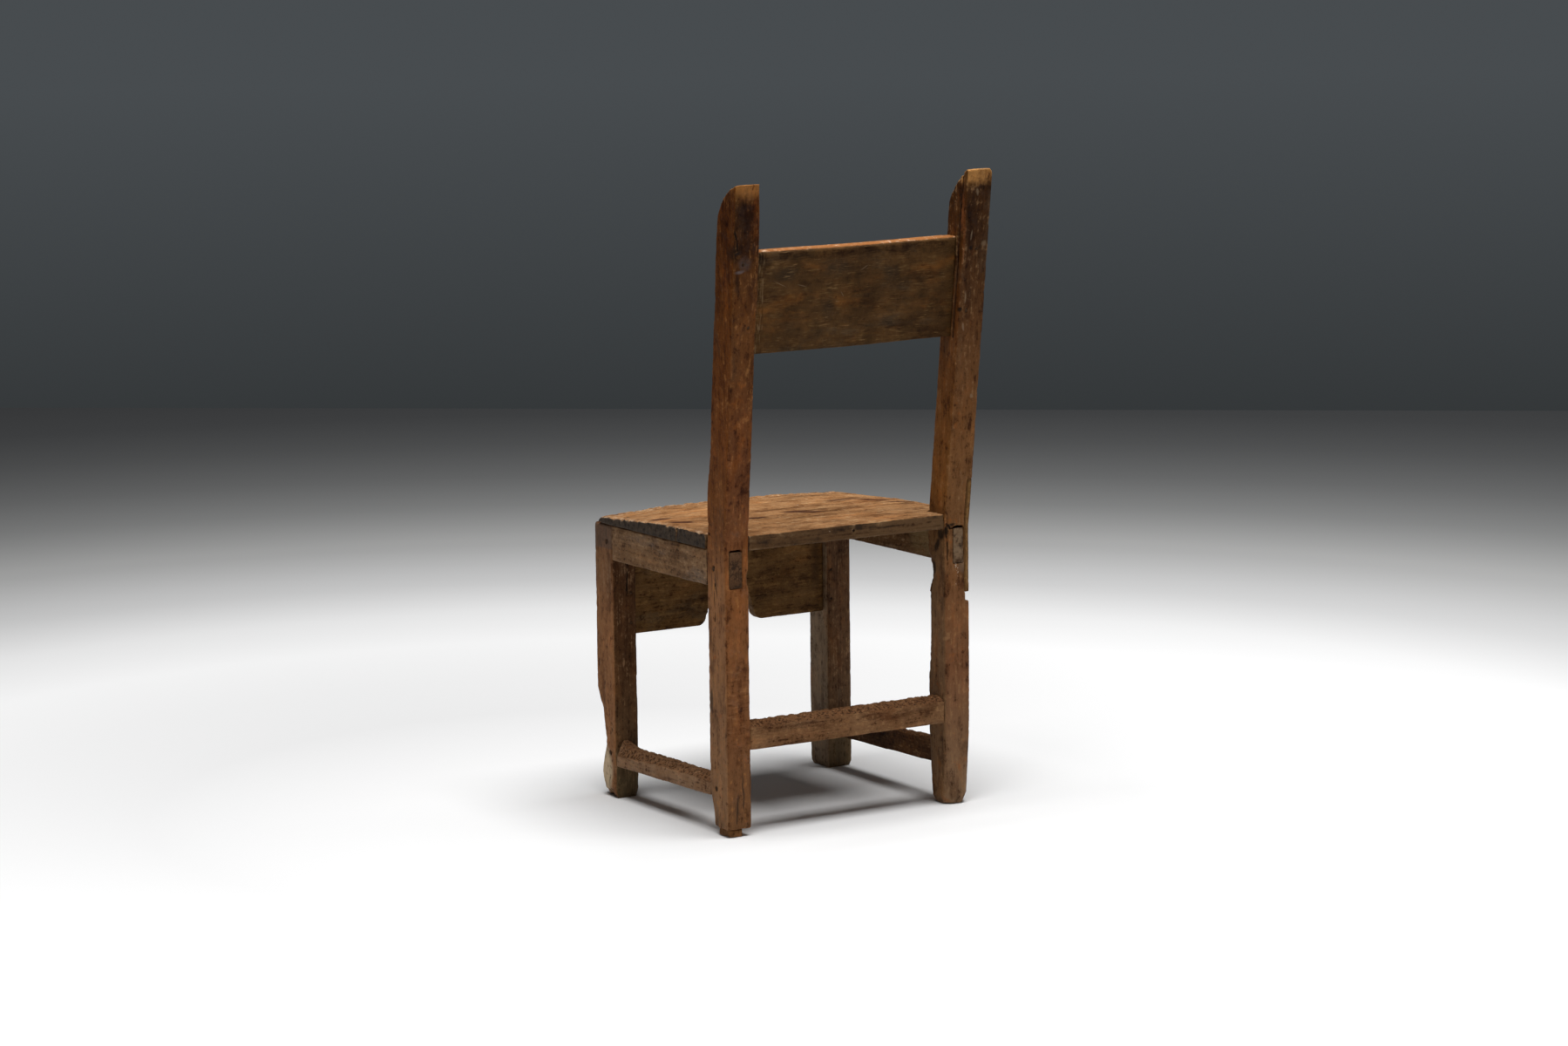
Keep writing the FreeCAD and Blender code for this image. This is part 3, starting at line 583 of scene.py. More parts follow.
def left_post_finish():
    """Red-brown back face, golden side, nearly black head with a scarred knot, golden cap."""
    wood = post_wood("left_post_wood", (150, 60), 4.2, 0.34, [
        (0.01, (0.19, 0.087, 0.035)), (0.15, (0.205, 0.083, 0.031)),
        (0.345, (0.25, 0.093, 0.029)), (0.41, (0.186, 0.066, 0.022)),
        (0.52, (0.145, 0.051, 0.018)), (0.7, (0.149, 0.054, 0.0138)),
        (0.785, (0.108, 0.039, 0.009)), (0.81, (0.042, 0.0132, 0.003)),
        (0.872, (0.044, 0.0148, 0.003)), (0.892, (0.26, 0.11, 0.028))], [
        (0.05, (0.262, 0.138, 0.065)), (0.34, (0.318, 0.146, 0.061)),
        (0.43, (0.165, 0.057, 0.015)), (0.6, (0.155, 0.047, 0.009)),
        (0.74, (0.118, 0.034, 0.004)), (0.88, (0.094, 0.026, 0.003))])
    step, patchy = wood.step, wood.patchy
    low = step(wood.z, 0.5, 0.38)
    wood.patches((0.25, 0.072, 0.011), (0.09, 0.046, 0.022), 0.45)
    wood.figure((0.28, 0.19, 0.13), (0.43, 0.19, 0.06))
    wood.tint(low * step(patchy, 0.2, 0.9) * 0.45, (0.26, 0.15, 0.09))
    wood.stained(step(wood.z, 0.68, 0.78) * step(wood.z, 0.89, 0.878) * 0.75)
    # A red streak, the knot, a bruise, a crescent in it and a dark trail below
    wood.dab(0.6, (0.23, 0.06, 0.014), (201, 172, 846), (6, 5, 40), (2, 0, 0))
    wood.dab(0.75, (0.014, 0.007, 0.004), (204, 196, 808), (11, 26, 17))
    bruise = wood.spot((189, 198, 794), (13, 18, 15), (0, 35, 0))
    wood.tint(bruise * step(patchy, -1.2, 0) * 0.7, (0.078, 0.064, 0.062))
    wood.dab(0.6, (0.18, 0.155, 0.155), (197, 198, 783), (11, 14, 3.4), (0, 8, 0))
    wood.dab(0.6, (0.03, 0.012, 0.005), (199, 195, 764), (5, 14, 24), (0, 4, 0))
    # A thin golden line down the inner back arris of the head: partly rubbed wood and partly a
    # painted highlight of light caught along the polished arris.
    rim = step(wood.x, 0.168, 0.1645) * wood.above(0.6, 0.66) * step(wood.facing[1], 0.2, 0.6)
    wood.tint(rim * step(wood.dirt, -0.9, 0.2) * 0.8, (0.52, 0.24, 0.066))
    inner = 0.3 + step(wood.x, 0.184, 0.172) * 0.85
    wood.arris = wood.arris * inner
    wood.age(rubbed=(0.52, 0.235, 0.07), fresh=(0.29, 0.125, 0.04), edge_share=0.85)
    wood.flecks((0.52, 0.3, 0.14), 0.55, 1.12)
    wood.rusted((1 - wood.above(0.62, 0.72)) * 0.55)
    wood.marked(
        (0.034, 0.022, 0.016), 0.75,
        ((201, 104.5, 330), (8, 2.6, 40)), ((201, 128, 350), (8, 2.2, 24), (8, 0, 0)),
        ((201, 117, 352), (8, 1.2, 26), (3, 0, 0)), ((201, 103, 234), (8, 5.5, 17)),
        ((201, 112, 188), (8, 5, 22)), ((176, 152, 60), (2, 9, 36), (0, 3, 0)),
        ((186, 152, 40), (2, 9, 30), (0, -4, 0)))
    across = wood.finish.vector("MULTIPLY", wood.near, (0.16, 1, 1))
    hatch = wood.finish.noise(across, 260, 1)
    band = wood.above(0.1, 0.16) * (1 - wood.above(0.22, 0.25))
    sawn = band * step(wood.facing[1], 0.6, 0.9) * step(patchy, -0.6, 0.4)
    wood.shade(sawn * step(hatch, 0.1, 0.6) * 0.6, (0.3, 0.22, 0.17))
    wood.tint(sawn * step(hatch, -0.2, -0.8) * 0.35, (0.4, 0.2, 0.085))
    wood.marked((0.4, 0.15, 0.045), 0.6, ((164, 150, 372), (4, 8, 16)))
    wood.handled(0.62, 0.82, 0.25)
    return wood.close()


def right_post_finish():
    """Grey-brown below, nearly black and scratched above, with a pale cap."""
    wood = post_wood("right_post_wood", (-130, 80), 4.5, 0.32, [
        (0, (0.268, 0.16, 0.086)), (0.09, (0.215, 0.114, 0.057)),
        (0.2, (0.204, 0.085, 0.036)), (0.4, (0.198, 0.088, 0.031)),
        (0.5, (0.216, 0.094, 0.032)), (0.66, (0.138, 0.058, 0.02)),
        (0.79, (0.066, 0.026, 0.008)), (0.881, (0.054, 0.021, 0.006)),
        (0.891, (0.46, 0.22, 0.066))], [
        (0.05, (0.192, 0.105, 0.05)), (0.34, (0.18, 0.094, 0.041)),
        (0.45, (0.188, 0.077, 0.019)), (0.7, (0.14, 0.048, 0.012)),
        (0.8, (0.056, 0.018, 0.003)), (0.89, (0.056, 0.019, 0.003))])
    step = wood.step
    wood.patches((0.23, 0.08, 0.018), (0.13, 0.086, 0.05), 0.4)
    wood.figure((0.28, 0.2, 0.15), (0.38, 0.21, 0.095))
    wood.stained(step(wood.z, 0.66, 0.8) * step(wood.z, 0.888, 0.876) * 0.7)
    wood.dab(0.6, (0.2, 0.13, 0.08), (-190, 152, 341), (10, 8, 13))
    line = wood.spot((-167, 192, 822), (1.8, 8, 62), core=0.7)
    wood.tint(line * step(wood.dirt, -0.8, 0.2) * 0.5, (0.2, 0.062, 0.018))
    wood.marked(
        (0.01, 0.006, 0.004), 0.95,
        ((-178, 194, 794.7), (3.4, 8, 3.4)), ((-166.5, 185, 709), (4, 8, 4)))
    wood.marked(
        (0.3, 0.21, 0.13), 0.5,
        ((-184.5, 200, 872), (2.6, 8, 8), (0, 12, 0)),
        ((-178.5, 196, 812), (1.8, 8, 9), (0, -6, 0)), ((-173, 182, 684), (2.2, 9, 8), (0, 10, 0)),
        ((-173.5, 184, 726), (1.6, 9, 12), (0, -4, 0)), ((-193.5, 170, 585), (4, 9, 4)))
    wood.dab(0.6, (0.22, 0.15, 0.09), (-200, 196, 800), (6, 8, 6), (0, 30, 0))
    wood.marked(
        (0.012, 0.007, 0.004), 0.85,
        ((-161, 123, 339), (6, 8, 13)), ((-161, 142, 388), (7, 11, 10), (-30, 0, 0)),
        ((-161, 133, 372), (7, 6, 15), (-30, 0, 0)), ((-163.5, 152, 394), (5, 9, 8), (0, -14, 0)),
        ((-170, 152, 402), (11, 9, 2.6), (0, 8, 0)), ((-176, 152, 377), (2.6, 8, 4.5)))
    wood.rusted((1 - wood.above(0.6, 0.72)) * 0.45)
    wood.rusted(wood.spot((-172, 152, 410), (14, 20, 60)) * 0.6, (0.33, 0.095, 0.014))
    band = wood.spot((-181, 152, 335), (7, 20, 60)) * 0.8
    band = band + wood.spot((-184, 154, 478), (6, 20, 26)) * 0.7
    wood.limed(band + wood.spot((-181, 152, 340), (6, 9, 12)) * 0.3)
    wood.age(rubbed=(0.48, 0.27, 0.12), fresh=(0.24, 0.135, 0.065), edge_share=0.85)
    wood.flecks((0.56, 0.42, 0.28))
    wood.limed(step(wood.x, -0.176, -0.168) * wood.above(0.56, 0.62) * 0.35)
    wood.handled(0.68, 0.84, 0.2)
    return wood.close()


def leg_finish():
    """Dry pale sides, dark back faces, a bleached knob at the rotted foot."""
    wood = Wood("leg_wood", "Z", (0, -260), specks=0.36)
    step = wood.step
    wood.colour = wood.finish.ramp(wood.z, [
        (0, (0.135, 0.083, 0.042)), (0.08, (0.13, 0.07, 0.032)),
        (0.2, (0.096, 0.042, 0.016)), (0.4, (0.078, 0.03, 0.01))])
    right = step(wood.x, 0, -0.05)
    wood.tint(right * 0.5, (0.155, 0.082, 0.041))
    wood.tint(right * step(wood.z, 0.12, 0.03) * 0.6, (0.23, 0.14, 0.072))
    outside = step(wood.facing[0], 0.5, 0.85)
    wood.tint(outside * 0.9, (0.295, 0.13, 0.052))
    wood.tint(outside * right * 0.9, (0.275, 0.19, 0.114))
    wood.patches((0.19, 0.072, 0.02), (0.135, 0.1, 0.068), 0.4)
    wood.figure((0.3, 0.22, 0.16), (0.4, 0.225, 0.11))
    green = step(wood.z + wood.patchy * 0.02, 0.1, 0.02) * step(wood.facing[1], 0.5, 0.9)
    wood.tint(green * 0.35, (0.13, 0.11, 0.055))
    knob = wood.spot((204, -188, 38), (19, 26, 44), core=0.6)
    wood.tint(knob * 0.88, (0.66, 0.51, 0.33))
    wood.tint(knob * step(wood.streak + wood.dirt * 0.5, 0, -0.8) * 0.7, (0.16, 0.11, 0.065))
    upper = outside * step(wood.x, 0, 0.05) * wood.above(0.24, 0.34)
    wood.shade(upper * 0.9, (0.74, 0.8, 0.9))
    wood.tint(upper * wood.above(0.36, 0.364) * step(wood.z, 0.403, 0.399) * 0.55,
              (0.085, 0.062, 0.05))
    wood.age(rubbed=(0.34, 0.18, 0.085), fresh=(0.26, 0.165, 0.09))
    wood.flecks((0.42, 0.31, 0.2), 0.5, 1.1)
    return wood.close()


def panel_finish():
    """Olive-brown board with fine ripples across it, rubbed patches and a pale upper arris."""
    wood = Wood("panel_wood", "X", (60, 500), ring_width=2.2, rings=0.04, streaks=0.12,
                fibres=0.12, blotches=0.14, specks=0.14)
    step, patchy = wood.step, wood.patchy
    finish = wood.finish
    wood.ground((0.07, 0.034, 0.011), (0.115, 0.055, 0.017), -0.6, 0.8)
    wood.patches((0.19, 0.07, 0.014), (0.07, 0.05, 0.03), 0.45)
    cloud = finish.noise(finish.warped(wood.place, 40, 0.012), 30, 5, 0.62)
    wood.shade(step(cloud, 0, -0.8) * 0.75, (0.42, 0.44, 0.46))
    wood.shade(step(cloud, 0.1, 0.9) * 0.6, (1.6, 1.5, 1.35))
    for centre, radii in (
            ((-98, 186, 727), (54, 30, 22)), ((14, 186, 726), (30, 30, 26)),
            ((104, 186, 736), (26, 30, 12))):
        warm = wood.spot(centre, radii, core=0) * step(patchy, -0.6, 0.5)
        wood.tint(warm * step(cloud, -0.6, 0.5) * 0.6, (0.21, 0.082, 0.015))
    for centre, radii in (
            ((32, 186, 779), (42, 30, 22)), ((42, 186, 722), (20, 30, 34)),
            ((-57, 186, 698), (32, 30, 14)), ((-58, 186, 766), (22, 30, 22)),
            ((112, 186, 774), (40, 30, 18)), ((96, 186, 700), (30, 30, 14))):
        sooty = wood.spot(centre, radii) * step(patchy, -0.9, 0.3)
        wood.tint(sooty * 0.65, (0.036, 0.024, 0.014))
    wood.figure((0.52, 0.46, 0.38), (0.23, 0.125, 0.045), 0.35)
    drawn = finish.vector("MULTIPLY", finish.warped(wood.place, 30, 0.006), (0.07, 1, 1))
    ripple = finish.noise(drawn, 620, 1)
    rubbed = step(patchy + wood.blotch * 0.5, -0.4, 0.7)
    wood.tint(step(ripple, 0.2, 0.85) * rubbed * 0.6, (0.25, 0.145, 0.056))
    wood.shade(step(ripple, -0.1, -0.8) * rubbed * 0.7, (0.4, 0.33, 0.26))
    edge = step(wood.x, 0.144, 0.151)
    across = finish.noise(finish.vector("MULTIPLY", wood.near, (1, 1, 0.08)), 420, 2)
    wood.tint(edge * step(across, 0.1, 0.7) * 0.6, (0.25, 0.16, 0.078))
    wood.shade(edge * step(across, -0.1, -0.7) * 0.7, (0.28, 0.22, 0.16))
    under = step(wood.z, 0.79, 0.798) * step(wood.facing[2], 0.35, 0.1)
    wood.shade(under * step(patchy, -0.4, 0.4) * 0.75, (0.22, 0.16, 0.12))
    for centre, length, turn in (
            ((122, 186, 761), 16, -25), ((86, 186, 756), 12, -16),
            ((20, 186, 741), 7, -60), ((-14, 186, 776), 9, 30)):
        scratch = finish.spot(wood.wavy, centre, (length, 30, 0.9), (0, turn, 0), 0.4)
        wood.tint(scratch * 0.4, (0.3, 0.21, 0.13))
    wood.age(rubbed=(0.3, 0.175, 0.1), fresh=(0.15, 0.085, 0.045), edge_share=0.4)
    upward = step(wood.facing[2] + wood.speck * 0.1, 0.5, 0.8)
    top = upward * step(wood.z, 0.78, 0.795)
    wood.tint(top * 0.85, (0.33, 0.125, 0.036))
    wood.tint(top * step(wood.dirt + wood.speck * 0.5, 0.1, 0.9) * 0.85, (0.68, 0.48, 0.33))
    wood.tint(top * step(patchy + wood.dirt * 0.5, -0.4, -1.1) * 0.7, (0.11, 0.04, 0.016))
    wood.flecks((0.34, 0.22, 0.11), 0.5, 1.1)
    return wood.close()


def seat_finish():
    """Golden worn boards with long dark streaks, grey end grain and a dark rear edge."""
    wood = Wood("seat_wood", "X", (-40, 340), ring_width=6, rings=0.1,
                streaks=0.34, blotches=0.14, specks=0.26)
    step, dirt, speck = wood.step, wood.dirt, wood.speck
    finish = wood.finish
    wood.ground((0.262, 0.122, 0.045), (0.372, 0.187, 0.077), -0.8, 0.8)
    wood.shade(step(wood.x, -0.06, -0.16) * 0.6, (1.16, 1.22, 1.3))
    wood.patches((0.36, 0.135, 0.036), (0.24, 0.145, 0.075), 0.35)
    wood.figure((0.32, 0.22, 0.15), (0.62, 0.41, 0.22), 0.65)
    line = finish.noise(finish.vector("MULTIPLY", wood.near, (0.07, 1, 1)), 62, 4, 0.7)
    wood.shade(step(line, 0.35, 0.7) * 0.75, (0.32, 0.17, 0.1))
    wood.tint(step(line, -0.5, -1) * 0.35, (0.62, 0.4, 0.21))
    stain = finish.noise(wood.drawn(0.22), 30, 4, 0.65)
    wood.shade(step(stain, 0.45, 0.95) * 0.5, (0.34, 0.2, 0.14))
    wood.marked(
        (0.06, 0.018, 0.009), 0.95,
        ((-8, 2, 418), (30, 13, 14), (0, 0, -20)), ((-24, 20, 418), (34, 7, 14), (0, 0, -14)),
        ((68, 22, 418), (20, 9, 14), (0, 0, -24)), ((-132, -60, 418), (44, 8, 14), (0, 0, -10)),
        ((-162, -30, 418), (30, 11, 14), (0, 0, -40)), ((-178, 12, 418), (26, 7, 14), (0, 0, -50)),
        ((172, -10, 418), (26, 12, 14), (0, 0, -40)), ((178, -60, 418), (20, 12, 14), (0, 0, -30)),
        ((150, 60, 418), (30, 9, 14), (0, 0, -14)))
    crumbs = wood.spot((-45, -56, 418), (16, 14, 14)) + step(wood.y, -0.12, -0.178)
    wood.limed(crumbs * 0.8, (0.78, 0.6, 0.43))
    upward = step(wood.facing[2], 0.3, 0.8)
    below = 1 - upward
    far = step(wood.y, -0.15, -0.178) * upward
    wood.tint(far * step(dirt + speck * 0.6, 0, 0.8) * 0.7, (0.62, 0.44, 0.3))
    wood.tint(far * step(dirt + speck * 0.4, -0.2, -0.9) * 0.7, (0.09, 0.04, 0.024))
    left = step(wood.x + wood.patchy * 0.02, 0.115, 0.165) * upward
    wood.tint(left * step(wood.streak + dirt * 0.6, 0.1, 0.9) * 0.6, (0.075, 0.048, 0.036))
    wood.tint(below * 0.85, (0.072, 0.038, 0.016))
    wood.tint(below * step(wood.x, 0.02, -0.06) * 0.75, (0.13, 0.07, 0.031))
    wood.tint(below * step(wood.streak + dirt * 0.5, 0.1, -0.8) * 0.8, (0.02, 0.012, 0.008))
    wood.tint(below * step(speck + dirt * 0.3, 0.6, 1.1) * 0.5, (0.28, 0.165, 0.08))
    high = step(wood.z, 0.404, 0.412)
    wood.arris = wood.arris * high
    wood.relief = wood.relief - (1 - high) * 0.4
    wood.hurt = wood.hurt * high
    wood.age(rubbed=(0.62, 0.41, 0.235), fresh=(0.46, 0.29, 0.15), hurt_share=0.45)
    end = step(wood.end_grain, 0.4, 0.75)
    wood.tint(end * 0.92, (0.062, 0.046, 0.034))
    wood.tint(end * step(speck + dirt * 0.4, 0.3, 1) * 0.6, (0.2, 0.15, 0.105))
    wood.tint(end * step(wood.streak, 0.3, -0.8) * 0.8, (0.014, 0.01, 0.008))
    rim = step(wood.x + wood.patchy * 0.003, 0.188, 0.198) * upward
    wood.tint(rim * step(dirt + speck * 0.6, -0.3, 0.8) * 0.7, (0.5, 0.35, 0.23))
    wood.flecks((0.68, 0.54, 0.39), 0.6, 1)
    return wood.close(0.7)


def rail_finish():
    """Dry grey-brown rails, the right one darker, with dark ends to their tenons."""
    wood = Wood("rail_wood", "Y", (60, 300))
    wood.ground((0.165, 0.086, 0.039), (0.245, 0.14, 0.07))
    step, patchy = wood.step, wood.patchy
    wood.tint(step(wood.x, 0, -0.05) * 0.65, (0.092, 0.04, 0.012))
    wood.patches((0.22, 0.11, 0.04), (0.135, 0.098, 0.074), 0.6)
    wood.figure((0.32, 0.24, 0.17), (0.42, 0.26, 0.14))
    wood.age(rubbed=(0.28, 0.17, 0.105), fresh=(0.22, 0.14, 0.08), edge_share=0.3)
    end = step(wood.end_grain, 0.45, 0.8)
    wood.tint(end * 0.85, (0.118, 0.056, 0.026))
    wood.tint(end * step(wood.z, 0.362, 0.35) * 0.5, (0.05, 0.024, 0.012))
    wood.tint(end * step(wood.dirt + wood.speck * 0.5, 0.2, -0.5) * 0.85, (0.03, 0.017, 0.01))
    wood.tint(end * step(wood.arris + patchy * 0.7, 0.6, 1.1) * 0.9, (0.014, 0.008, 0.005))
    right_end = step(wood.x, 0, -0.05) * end
    wood.tint(right_end * step(patchy + wood.dirt * 0.5, -0.5, 0.5) * 0.75,
              (0.27, 0.18, 0.105))
    olive = wood.spot((-165, 82, 376), (24, 60, 46), core=0.5)
    wood.tint(olive * step(patchy, -1, 0.2) * 0.65, (0.23, 0.155, 0.07))
    wood.flecks((0.46, 0.34, 0.22))
    return wood.close()


def apron_finish():
    """Rough board, dark partly from its own wood and partly from painted shade under the seat, with
    one pale chip and a dark band beside the right leg.
    """
    wood = Wood("apron_wood", "X", (-120, 500), ring_width=5, streaks=0.32)
    # Painted shade: these browns are darkened for the shade under the seat.
    wood.ground((0.11, 0.052, 0.0148), (0.173, 0.087, 0.028))
    wood.patches((0.17, 0.068, 0.014), (0.13, 0.088, 0.046), 0.4)
    wood.figure((0.32, 0.24, 0.16), (0.31, 0.16, 0.052))
    wood.age(rubbed=(0.23, 0.14, 0.075), fresh=(0.14, 0.085, 0.045), edge_share=0.3)
    wood.marked((0.52, 0.4, 0.25), 0.85, ((-33, -158, 244), (9, 12, 5), (0, 35, 0)))
    wood.marked((0.042, 0.019, 0.007), 0.85, ((-148, -158, 310), (15, 12, 80)))
    wood.flecks((0.26, 0.18, 0.11), 0.45, 1.15)
    return wood.close()


def stretcher_finish(name, grain, pith, base, shaded):
    """Brown bar with a dark and pale crust along its crumbled top."""
    wood = Wood(name, grain, pith)
    wood.ground(shaded, base)
    step = wood.step
    wood.patches((0.25, 0.088, 0.024), (0.16, 0.108, 0.068), 0.3)
    wood.figure((0.3, 0.21, 0.15), (0.4, 0.22, 0.1))
    upward = step(wood.facing[2] + wood.dirt * 0.1, 0.3, 0.6)
    wood.tint(upward * 0.55, (0.165, 0.07, 0.028))
    crust = wood.finish.noise(wood.place, 230, 3, 0.7)
    wood.tint(upward * step(crust, 0.1, 0.6) * 0.9, (0.018, 0.01, 0.007))
    wood.tint(upward * step(crust, -0.3, -0.8) * 0.8, (0.48, 0.255, 0.125))
    wood.age(rubbed=(0.28, 0.155, 0.075), fresh=(0.2, 0.1, 0.045))
    wood.flecks((0.4, 0.26, 0.15), 0.45, 1.15)
    return wood.close(0.7)


def repair_finish():
    """Ochre-brown strip, paler than the post it is let into."""
    wood = Wood("repair_wood", "Z", (-260, 100), ring_width=3)
    wood.colour = wood.finish.ramp(wood.z, [
        (0.3, (0.3, 0.155, 0.054)), (0.46, (0.25, 0.128, 0.042))])
    wood.figure((0.34, 0.26, 0.19), (0.34, 0.18, 0.066))
    wood.shade(wood.step(wood.arris + wood.dirt * 0.5, 0.3, 0.9) * 0.7, (0.22, 0.16, 0.12))
    wood.age(rubbed=(0.28, 0.16, 0.075), fresh=(0.21, 0.125, 0.062), edge_share=0.1)
    return wood.close()


def block_finish():
    """Dark red-brown block."""
    wood = Wood("foot_block_wood", "Z", (60, 50), ring_width=3)
    wood.ground((0.165, 0.073, 0.025), (0.31, 0.14, 0.05))
    wood.figure((0.26, 0.2, 0.15), (0.38, 0.18, 0.07))
    wood.age(rubbed=(0.16, 0.09, 0.045), fresh=(0.08, 0.045, 0.022))
    return wood.close()


def peg_finish():
    """Dark end grain, cut off flush."""
    wood = Wood("peg_wood", "X", (0, 0), ring_width=1.5)
    wood.ground((0.04, 0.02, 0.01), (0.06, 0.032, 0.016))
    wood.figure((0.4, 0.32, 0.25), (0.12, 0.07, 0.038))
    wood.age(rubbed=(0.12, 0.07, 0.038), fresh=(0.06, 0.034, 0.018))
    return wood.close()


def iron_finish():
    """Rusted iron, nearly black in places."""
    finish = Finish(bpy.data.materials.new("rusted_iron"))
    place = finish.place()
    grit = finish.noise(place, 900, 4, 0.6)
    rust = finish.noise(place, 260, 3, 0.6)
    colour = finish.ramp(0.5 + rust * 0.3 + grit * 0.15, [
        (0.2, (0.02, 0.017, 0.015)), (0.5, (0.06, 0.035, 0.022)),
        (0.8, (0.14, 0.06, 0.028))])
    return finish.close(colour, 0.62 + rust * 0.12, grit, 0.15 * MM)


# ------ damage of each piece

def left_post_damage(surface):
    """Slight bends, two gouges, splits at the knot and outside, and two holes."""
    surface.reshape((162, 190, 800), (26, 34, 150), (-2.4, 0, 0))
    surface.reshape((201, 104, 478), (26, 26, 60), (1.2, -2, 0))
    surface.reshape((201, 104, 10), (26, 26, 60), (-3, 5, 0))
    surface.gouge((161.5, 151, 358), (7, 9, 15), 3.5)
    surface.gouge((198, 197.5, 804), (10, 7, 8), 1.6)
    surface.crack([(208, 199, 838), (201, 198, 826), (203, 196, 812)], 1.4, 1.2)
    surface.crack([(201, 124, 352), (201, 121.5, 330), (201, 122.5, 300)], 1.4, 1.6)
    surface.crack([(201, 145, 412), (201, 138, 420), (201, 128, 414)], 1.3, 1.4)
    surface.hole((201.2, 122, 374), 2.6, 2.4)
    surface.hole((201.2, 112, 419), 2.4, 2)


def right_post_damage(surface):
    """A torn cavity inside, a foot worn round, a rounded head, splits and holes."""
    surface.gouge((-161, 108, 330), (13, 16, 34), 7.5)
    surface.gouge((-161, 108, 262), (10, 12, 100), 3.4)
    surface.gouge((-203, 152, 0), (13, 15, 26), 6.5)
    surface.gouge((-209, 206, 905), (8, 10, 8), 3.5)
    surface.gouge((-160.5, 206, 905), (6, 10, 5), 2.5)
    surface.crack([(-164, 151, 404), (-170, 151.5, 396), (-184, 151.5, 398)], 1.8, 2.4)
    surface.crack([(-162, 151, 398), (-165, 151.5, 375), (-166, 151.5, 352)], 1.6, 2.2)
    surface.hole((-188, 196, 793.5), 2.2, 2.4)
    surface.hole((-177, 186, 708), 2.4, 2.4)
    surface.hole((-178, 151.5, 386), 2.4, 2.4)


def left_leg_damage(surface):
    """The outer side of the foot has crumbled."""
    foot = 1 - smooth_step(surface.places[:, 2], 0.09, 0.17)
    outside = smooth_step(surface.places[:, 0], 0.185, 0.198)
    surface.crumble(foot * outside * 0.6, 14 * MM, 2.5 * MM)
    surface.gouge((203, -178, 0), (18, 22, 18), 5)
    surface.crack([(176, -156, 345), (177.5, -156, 310), (176.5, -156, 285)], 1.3, 1.5)


def panel_damage(surface):
    """The panel stands a little higher at its right end."""
    rise = smooth_step(surface.places[:, 0], 0.02, -0.17)
    surface.places[:, 2] += rise * 2.6 * MM


def front_board_damage(surface):
    """Ragged front and left edges and short splits."""
    x, y, z = surface.places.T
    top = smooth_step(z, 0.403, 0.411)
    front = 1 - smooth_step(y, -0.188, -0.168)
    left = smooth_step(x, 0.193, 0.203)
    surface.crumble(front * (0.4 + 0.6 * top), 9 * MM, 3 * MM)
    surface.crumble(left * top, 11 * MM, 3 * MM)
    surface.crack([(-108, -14, 418), (-132, -4, 418), (-157, 1, 418)], 1.6, 1.6)
    surface.crack([(120, -62, 418), (60, -66, 418), (12, -60, 418)], 1.1, 1)
    surface.crack([(-20, -96, 418), (-80, -92, 418)], 1.2, 1)


def rear_board_damage(surface):
    """Ragged rear, left and joint edges, a split and a hole."""
    x, y, z = surface.places.T
    top = smooth_step(z, 0.403, 0.411)
    back = smooth_step(y, 0.142, 0.15)
    surface.crumble(back * top * 0.5, 16 * MM, 2 * MM)
    surface.crumble(smooth_step(x, 0.193, 0.203) * top, 11 * MM, 2.6 * MM)
    joint = 1 - smooth_step(y, 0.026, 0.03)
    surface.crumble(joint * top * 0.5, 12 * MM, 1.6 * MM)
    surface.crack([(90, 30, 418), (58, 34, 418), (20, 31, 418)], 1.8, 1.8)
    surface.hole((-9, 151.5, 409), 2.4, 2.5)


def stretcher_damage(surface):
    """The upper faces have crumbled."""
    upward = smooth_step(surface.normals()[:, 2], 0.15, 0.7)
    surface.crumble(upward, 9 * MM, 3.2 * MM)


# ------ the chair

